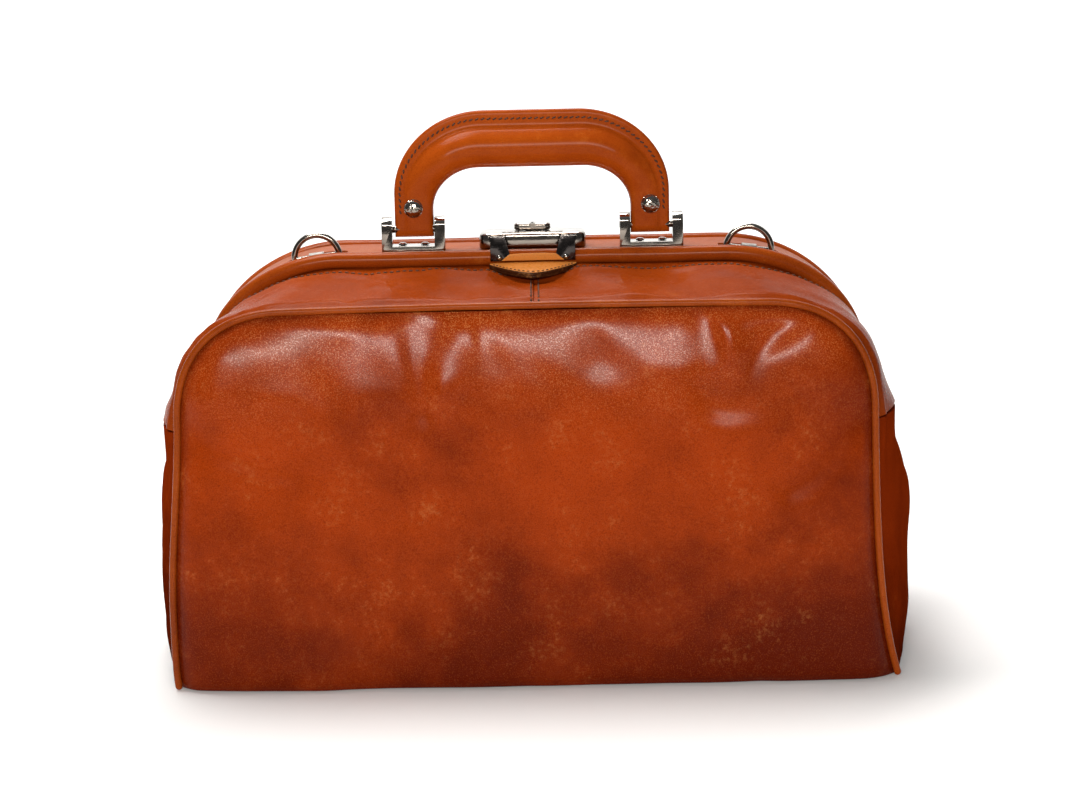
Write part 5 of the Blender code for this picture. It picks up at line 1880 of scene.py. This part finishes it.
@dataclass(frozen=True)
class Handle:
    """Folded-leather handle: round grip with a stitched flange outside it, and its rivets."""

    y: float = -0.0105
    foot: float = 0.2300
    loop: float = 0.0043
    inner_x: float = 0.0530
    outer_x: float = 0.0737
    inner_top: float = 0.2624
    outer_top: float = 0.2927
    rivet_x: float = 0.0636
    rivet_z: float = 0.2415

    def edges(self) -> tuple[Array, Array, Array]:
        """Inner edge, outer edge and fullness (0 flat leg, 1 round grip) from the right foot to the top.

        Returns:
            Two arrays of (x, z) points and one of values.
        """
        inner_flat, outer_flat, inner_foot, outer_foot = 0.0280, 0.0252, 0.2404, 0.2487
        below = -0.985 * self.loop * np.cos(np.linspace(0.0, math.pi / 2, 9))
        share = np.linspace(0.0, 1.0, 16)[1:-1]
        inner_z = self.foot + np.concatenate([below, share * (inner_foot - self.foot)])
        outer_z = self.foot + np.concatenate([below, share * (outer_foot - self.foot)])
        inner_leg = np.column_stack([np.full_like(inner_z, self.inner_x), inner_z])
        outer_leg = np.column_stack([np.full_like(outer_z, self.outer_x), outer_z])
        inner_reach = (self.inner_x - inner_flat, self.inner_top - inner_foot)
        outer_reach = (self.outer_x - outer_flat, self.outer_top - outer_foot)
        inner_arc = quarter((inner_flat, inner_foot), inner_reach, 2.0, 70)[::-1]
        outer_arc = quarter((outer_flat, outer_foot), outer_reach, 2.0, 70)[::-1]
        along = np.linspace(1.0, 0.0, 24)[1:, None]
        inner_line = np.array([0.0, self.inner_top]) + along * np.array([inner_flat, 0.0])
        outer_line = np.array([0.0, self.outer_top]) + along * np.array([outer_flat, 0.0])
        turn = np.concatenate([np.zeros(len(inner_z)), np.linspace(0.0, 1.5, 70), np.full(23, 1.5)])
        return (np.vstack([inner_leg, inner_arc, inner_line]), np.vstack([outer_leg, outer_arc, outer_line]),
                smooth(turn))

    def stations(self) -> tuple[Array, Array, Array]:
        """Edges and fullness from the left foot over the top to the right foot."""
        inner, outer, full = self.edges()
        flip = np.array([-1.0, 1.0])
        return (np.vstack([inner[:-1] * flip, inner[::-1]]), np.vstack([outer[:-1] * flip, outer[::-1]]),
                np.concatenate([full[:-1], full[::-1]]))

    def profiles(self) -> tuple[Array, Array]:
        """Half sections of the leg and of the grip: (distance from the inner edge, half thickness)."""
        grip = np.array([(0.0, 0.0), (0.5, 3.2), (2.2, 6.6), (6.0, 9.7), (10.8, 10.8), (15.6, 9.7),
                         (19.6, 6.2), (21.2, 3.7), (23.0, 2.9), (26.4, 2.8), (29.0, 2.6), (30.1, 1.7),
                         (30.3, 0.9), (30.0, 0.15)])
        leg = np.array([(0.0, 0.0), (0.3, 1.9), (1.0, 3.4), (3.0, 4.6), (8.0, 5.0), (11.5, 4.9), (14.4, 4.2),
                        (15.8, 3.4), (16.8, 3.0), (18.6, 2.9), (20.6, 2.7), (21.7, 1.8), (22.0, 0.9),
                        (21.7, 0.15)])
        return curve_through(leg, 53) * 0.001, curve_through(grip, 53) * 0.001

    def leather(self) -> bpy.types.Object:
        """Handle leather, lofted through its stations, with the bar's bore and the rivets' holes."""
        inner, outer, full = self.stations()
        leg, grip = self.profiles()
        full = full[:, None]
        out = unit(outer - inner)
        width = np.linalg.norm(outer - inner, axis=1)[:, None]
        along = leg[None, :, 0] * (1 - full) + grip[None, :, 0] * full
        half = leg[None, :, 1] * (1 - full) + grip[None, :, 1] * full
        tip = np.where(np.arange(along.shape[1]) == along.shape[1] - 2, along, 0.0).max(axis=1, keepdims=True)
        along = along * width / tip
        low = np.clip((self.foot - inner[:, 1:]) / self.loop, 0.0, 1.0)
        slim = (0.82 + 0.18 * smooth((inner[:, 1:] - self.foot) / 0.012)) * np.sqrt(1.0 - low ** 2)
        step = arc_lengths(inner)[:, None]
        half = half * slim * (1.0 + 0.012 * ripple(step, along, 0.05, 81) * full)
        along = np.concatenate([along, along[:, :0:-1]], axis=1)
        half = np.concatenate([half, -half[:, :0:-1]], axis=1)
        x = inner[:, :1] + out[:, :1] * along
        z = inner[:, 1:] + out[:, 1:] * along
        edge = np.clip(1.0 - (width - along) / 0.0012, 0.0, 1.0) + 0.0 * half
        piece = loft("handle_grip_leather", np.stack([x, self.y + half, z], axis=2), edge)
        cuts = []
        for side in Side:
            start, end = sorted((side.value * (self.inner_x - 0.004), side.value * (self.outer_x + 0.004)))
            bore = circle(0.00235, 24) + np.array([self.y, self.foot])
            cuts.append(prism("loop_bore", bore, start, end, 0))
            hole = circle(0.00195, 16) + np.array([side.value * self.rivet_x, self.rivet_z])
            cuts.append(prism("rivet_hole", hole, -0.03, 0.01, 1))
        joined(piece, *cuts, operation='DIFFERENCE')
        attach(piece, "handle")
        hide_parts("handle_leather")
        HANDLE.put_on(piece)
        return piece

    def seam(self, face: End) -> bpy.types.Object:
        """Heavy slanted stitches along the middle of the flange, on the front or the back face."""
        inner, outer, full = self.stations()
        out = unit(outer - inner)
        width = np.linalg.norm(outer - inner, axis=1)
        back = 0.0030 + 0.0012 * full
        height = (0.0029 - 0.0001 * full) * (0.82 + 0.18 * smooth((inner[:, 1] - self.foot) / 0.012))
        line = inner + out * (width - back)[:, None]
        keep = line[:, 1] > self.foot + 0.0085
        path = np.column_stack([line[:, 0], self.y + face.value * height, line[:, 1]])[keep]
        count = int(arc_lengths(path)[-1] / 0.0031)
        middle = resample(path, np.linspace(0.0, 1.0, count))
        across = resample(np.column_stack([out[:, 0], np.zeros(len(out)), out[:, 1]])[keep],
                          np.linspace(0.0, 1.0, count))
        along = unit(np.gradient(middle, axis=0)) + 0.42 * unit(across)
        outward = np.broadcast_to(np.array([0.0, face.value, 0.0]), middle.shape)
        piece = stitches(f"handle_stitches_{face.name.lower()}", middle, along, outward, 0.0027, 0.00046)
        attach(piece, "handle")
        THREAD.put_on(piece)
        return piece

    def rivet(self, side: Side) -> bpy.types.Object:
        """Domed, lightly hammered rivet with a washer under its dome."""
        face = 0.0054
        turn = np.linspace(0.0, math.pi / 2, 12)
        dome = np.column_stack([-face - 0.0003 - 0.0024 * np.cos(turn), 0.0047 * np.sin(turn)])
        washer = np.array([(-face - 0.0002, 0.0050), (-face + 0.0003, 0.0050), (-face + 0.0003, 0.0016)])
        tail = np.array([(face, 0.0016), (face, 0.0040), (face + 0.0006, 0.0039), (face + 0.0012, 0.0030),
                         (face + 0.0013, 0.0)])
        name = f"handle_rivet_{side.name.lower()}"
        piece = turned(f"{name}_dome", np.vstack([dome, washer, tail]),
                       (side.value * self.rivet_x, self.y, self.rivet_z), (0.0, 1.0, 0.0), 40)
        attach(piece, "handle")
        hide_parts(name)
        RIVET.put_on(piece)
        return piece

    def build(self) -> None:
        """Make the handle, its seams and its rivets."""
        report(self.leather(), self.seam(End.FRONT), self.seam(End.BACK))
        report(self.rivet(Side.LEFT), self.rivet(Side.RIGHT))


# ---- pieces carried over ------------------------------------------------------------------
@dataclass(frozen=True)
class HiddenParts:
    """Pieces whose modelled shape stays and which only get their finish."""

    steel: tuple[str, ...] = ("front_frame_steel", "back_frame_steel", "frame_hinge_pin_left",
                              "frame_hinge_pin_right", "hinge_anchor_left", "hinge_anchor_right", "lock_base",
                              "lock_bolt", "ring_keeper_left", "ring_keeper_right")
    nickel: tuple[str, ...] = ("bracket_screw_1", "bracket_screw_2", "bracket_screw_3", "bracket_screw_4")
    board: tuple[str, ...] = ("bottom_board",)
    cord: tuple[str, ...] = ("handle_core",)

    def dress(self) -> None:
        """Put each finish on its pieces."""
        for finish, names in ((STEEL, self.steel), (SHADED_NICKEL, self.nickel), (BOARD, self.board),
                              (CORD, self.cord)):
            finish.put_on(*(frame["nodes"][name] for name in names), declare=False)


# ---- studio -------------------------------------------------------------------------------
@dataclass(frozen=True)
class Studio:
    """Pale floor, soft lights and the camera."""

    distance: float = 1.484
    elevation: float = 10.5
    roll: float = 1.2
    lens: float = 90.0
    target: Point = (0.0022, 0.0, 0.1333)
    sweep_start: float = 1.6
    sweep: float = 0.9
    glow: float = 0.62
    surroundings: float = 0.10

    def camera(self) -> None:
        """Place the camera, tilted a little clockwise round its own axis."""
        rise, tilt = math.radians(self.elevation), math.radians(self.roll)
        ahead = np.array([0.0, math.cos(rise), -math.sin(rise)])
        right, upward = np.array([1.0, 0.0, 0.0]), np.array([0.0, math.sin(rise), math.cos(rise)])
        side = right * math.cos(tilt) - upward * math.sin(tilt)
        top = right * math.sin(tilt) + upward * math.cos(tilt)
        data = bpy.data.cameras.new("view")
        data.lens = self.lens
        data.sensor_width = 36.0
        camera = bpy.data.objects.new("view", data)
        turn = Matrix(np.column_stack([side, top, -ahead]).tolist()).to_4x4()
        place = np.array(self.target) - self.distance * ahead
        camera.matrix_world = Matrix.Translation(Vector(place.tolist())) @ turn
        bpy.context.scene.collection.objects.link(camera)
        bpy.context.scene.camera = camera

    def lamp(self, name: str, place: Point, aim: Point, size: tuple[float, float], power: float,
             colour: Colour = (1.0, 1.0, 1.0)) -> None:
        """Add a soft rectangular light that shines from its place to its aim."""
        data = bpy.data.lights.new(name, 'AREA')
        data.shape = 'RECTANGLE'
        data.size, data.size_y = size
        data.energy = power
        data.color = colour
        lamp = bpy.data.objects.new(name, data)
        lamp.location = place
        lamp.rotation_euler = (Vector(aim) - Vector(place)).to_track_quat('-Z', 'Y').to_euler()
        bpy.context.scene.collection.objects.link(lamp)

    def floor(self) -> None:
        """Pale floor that sweeps up into a backdrop: flat, then a quarter circle, then a wall."""
        turn = np.linspace(0.0, math.pi / 2, 24)
        bend = np.column_stack([self.sweep_start + self.sweep * np.sin(turn),
                                self.sweep * (1.0 - np.cos(turn))])
        section = np.vstack([[(-2.5, 0.0)], bend, [(self.sweep_start + self.sweep, 4.0)]])
        x = np.linspace(-4.5, 4.5, 10)[None, :]
        y, z = section[:, :1], section[:, 1:] - 0.0001
        points = np.stack(np.broadcast_arrays(x, y, z), axis=2).reshape(-1, 3)
        floor = lay("floor", points, grid_faces(len(section), 10))
        paint = Shader("floor_paint")
        cloud = paint.noise(paint.place(), 3.0, 3.0)
        depth = paint.node('ShaderNodeSeparateXYZ', {}, {0: paint.place()}, output="Y")
        far = paint.mix(depth.above(0.3, 1.5), (0.10, 0.10, 0.10), (1.0, 1.0, 1.0))
        paint.set(Base_Color=paint.mix(cloud, (0.95, 0.95, 0.95), (0.92, 0.92, 0.92)),
                  Roughness=0.85 + cloud * 0.1, Specular_IOR_Level=0.05,
                  Emission_Color=far, Emission_Strength=self.glow)
        floor.data.materials.append(paint.material)

    def world(self) -> None:
        """Even, dim surroundings."""
        world = bpy.data.worlds.new("surroundings")
        world.use_nodes = True
        light = world.node_tree.nodes["Background"]
        light.inputs["Color"].default_value = (1.0, 1.0, 1.0, 1.0)
        light.inputs["Strength"].default_value = self.surroundings
        bpy.context.scene.world = world

    def build(self) -> None:
        """Set up the studio."""
        self.camera()
        self.floor()
        self.world()
        self.lamp("top_light", (-0.2, 0.30, 1.35), (0.0, 0.12, 0.0), (1.2, 0.5), 25.0, (1.0, 0.98, 0.95))
        self.lamp("front_light", (-0.1, -2.3, 0.84), (0.0, 0.0, 0.14), (1.2, 0.22), 33.0, (1.0, 0.97, 0.92))
        bpy.context.scene.view_settings.view_transform = 'Standard'


def main() -> None:
    """Build the studio and every piece."""
    logging.basicConfig(level=logging.INFO, format="%(name)s %(message)s")
    Studio().build()
    for part in (Panels(), Gussets(), MouthBands(), Lining(), Rolls(), Rings(), Striker(), PullTab(), Lock(),
                 Brackets(), Handle()):
        part.build()
    HiddenParts().dress()


if __name__ == "__main__":
    main()
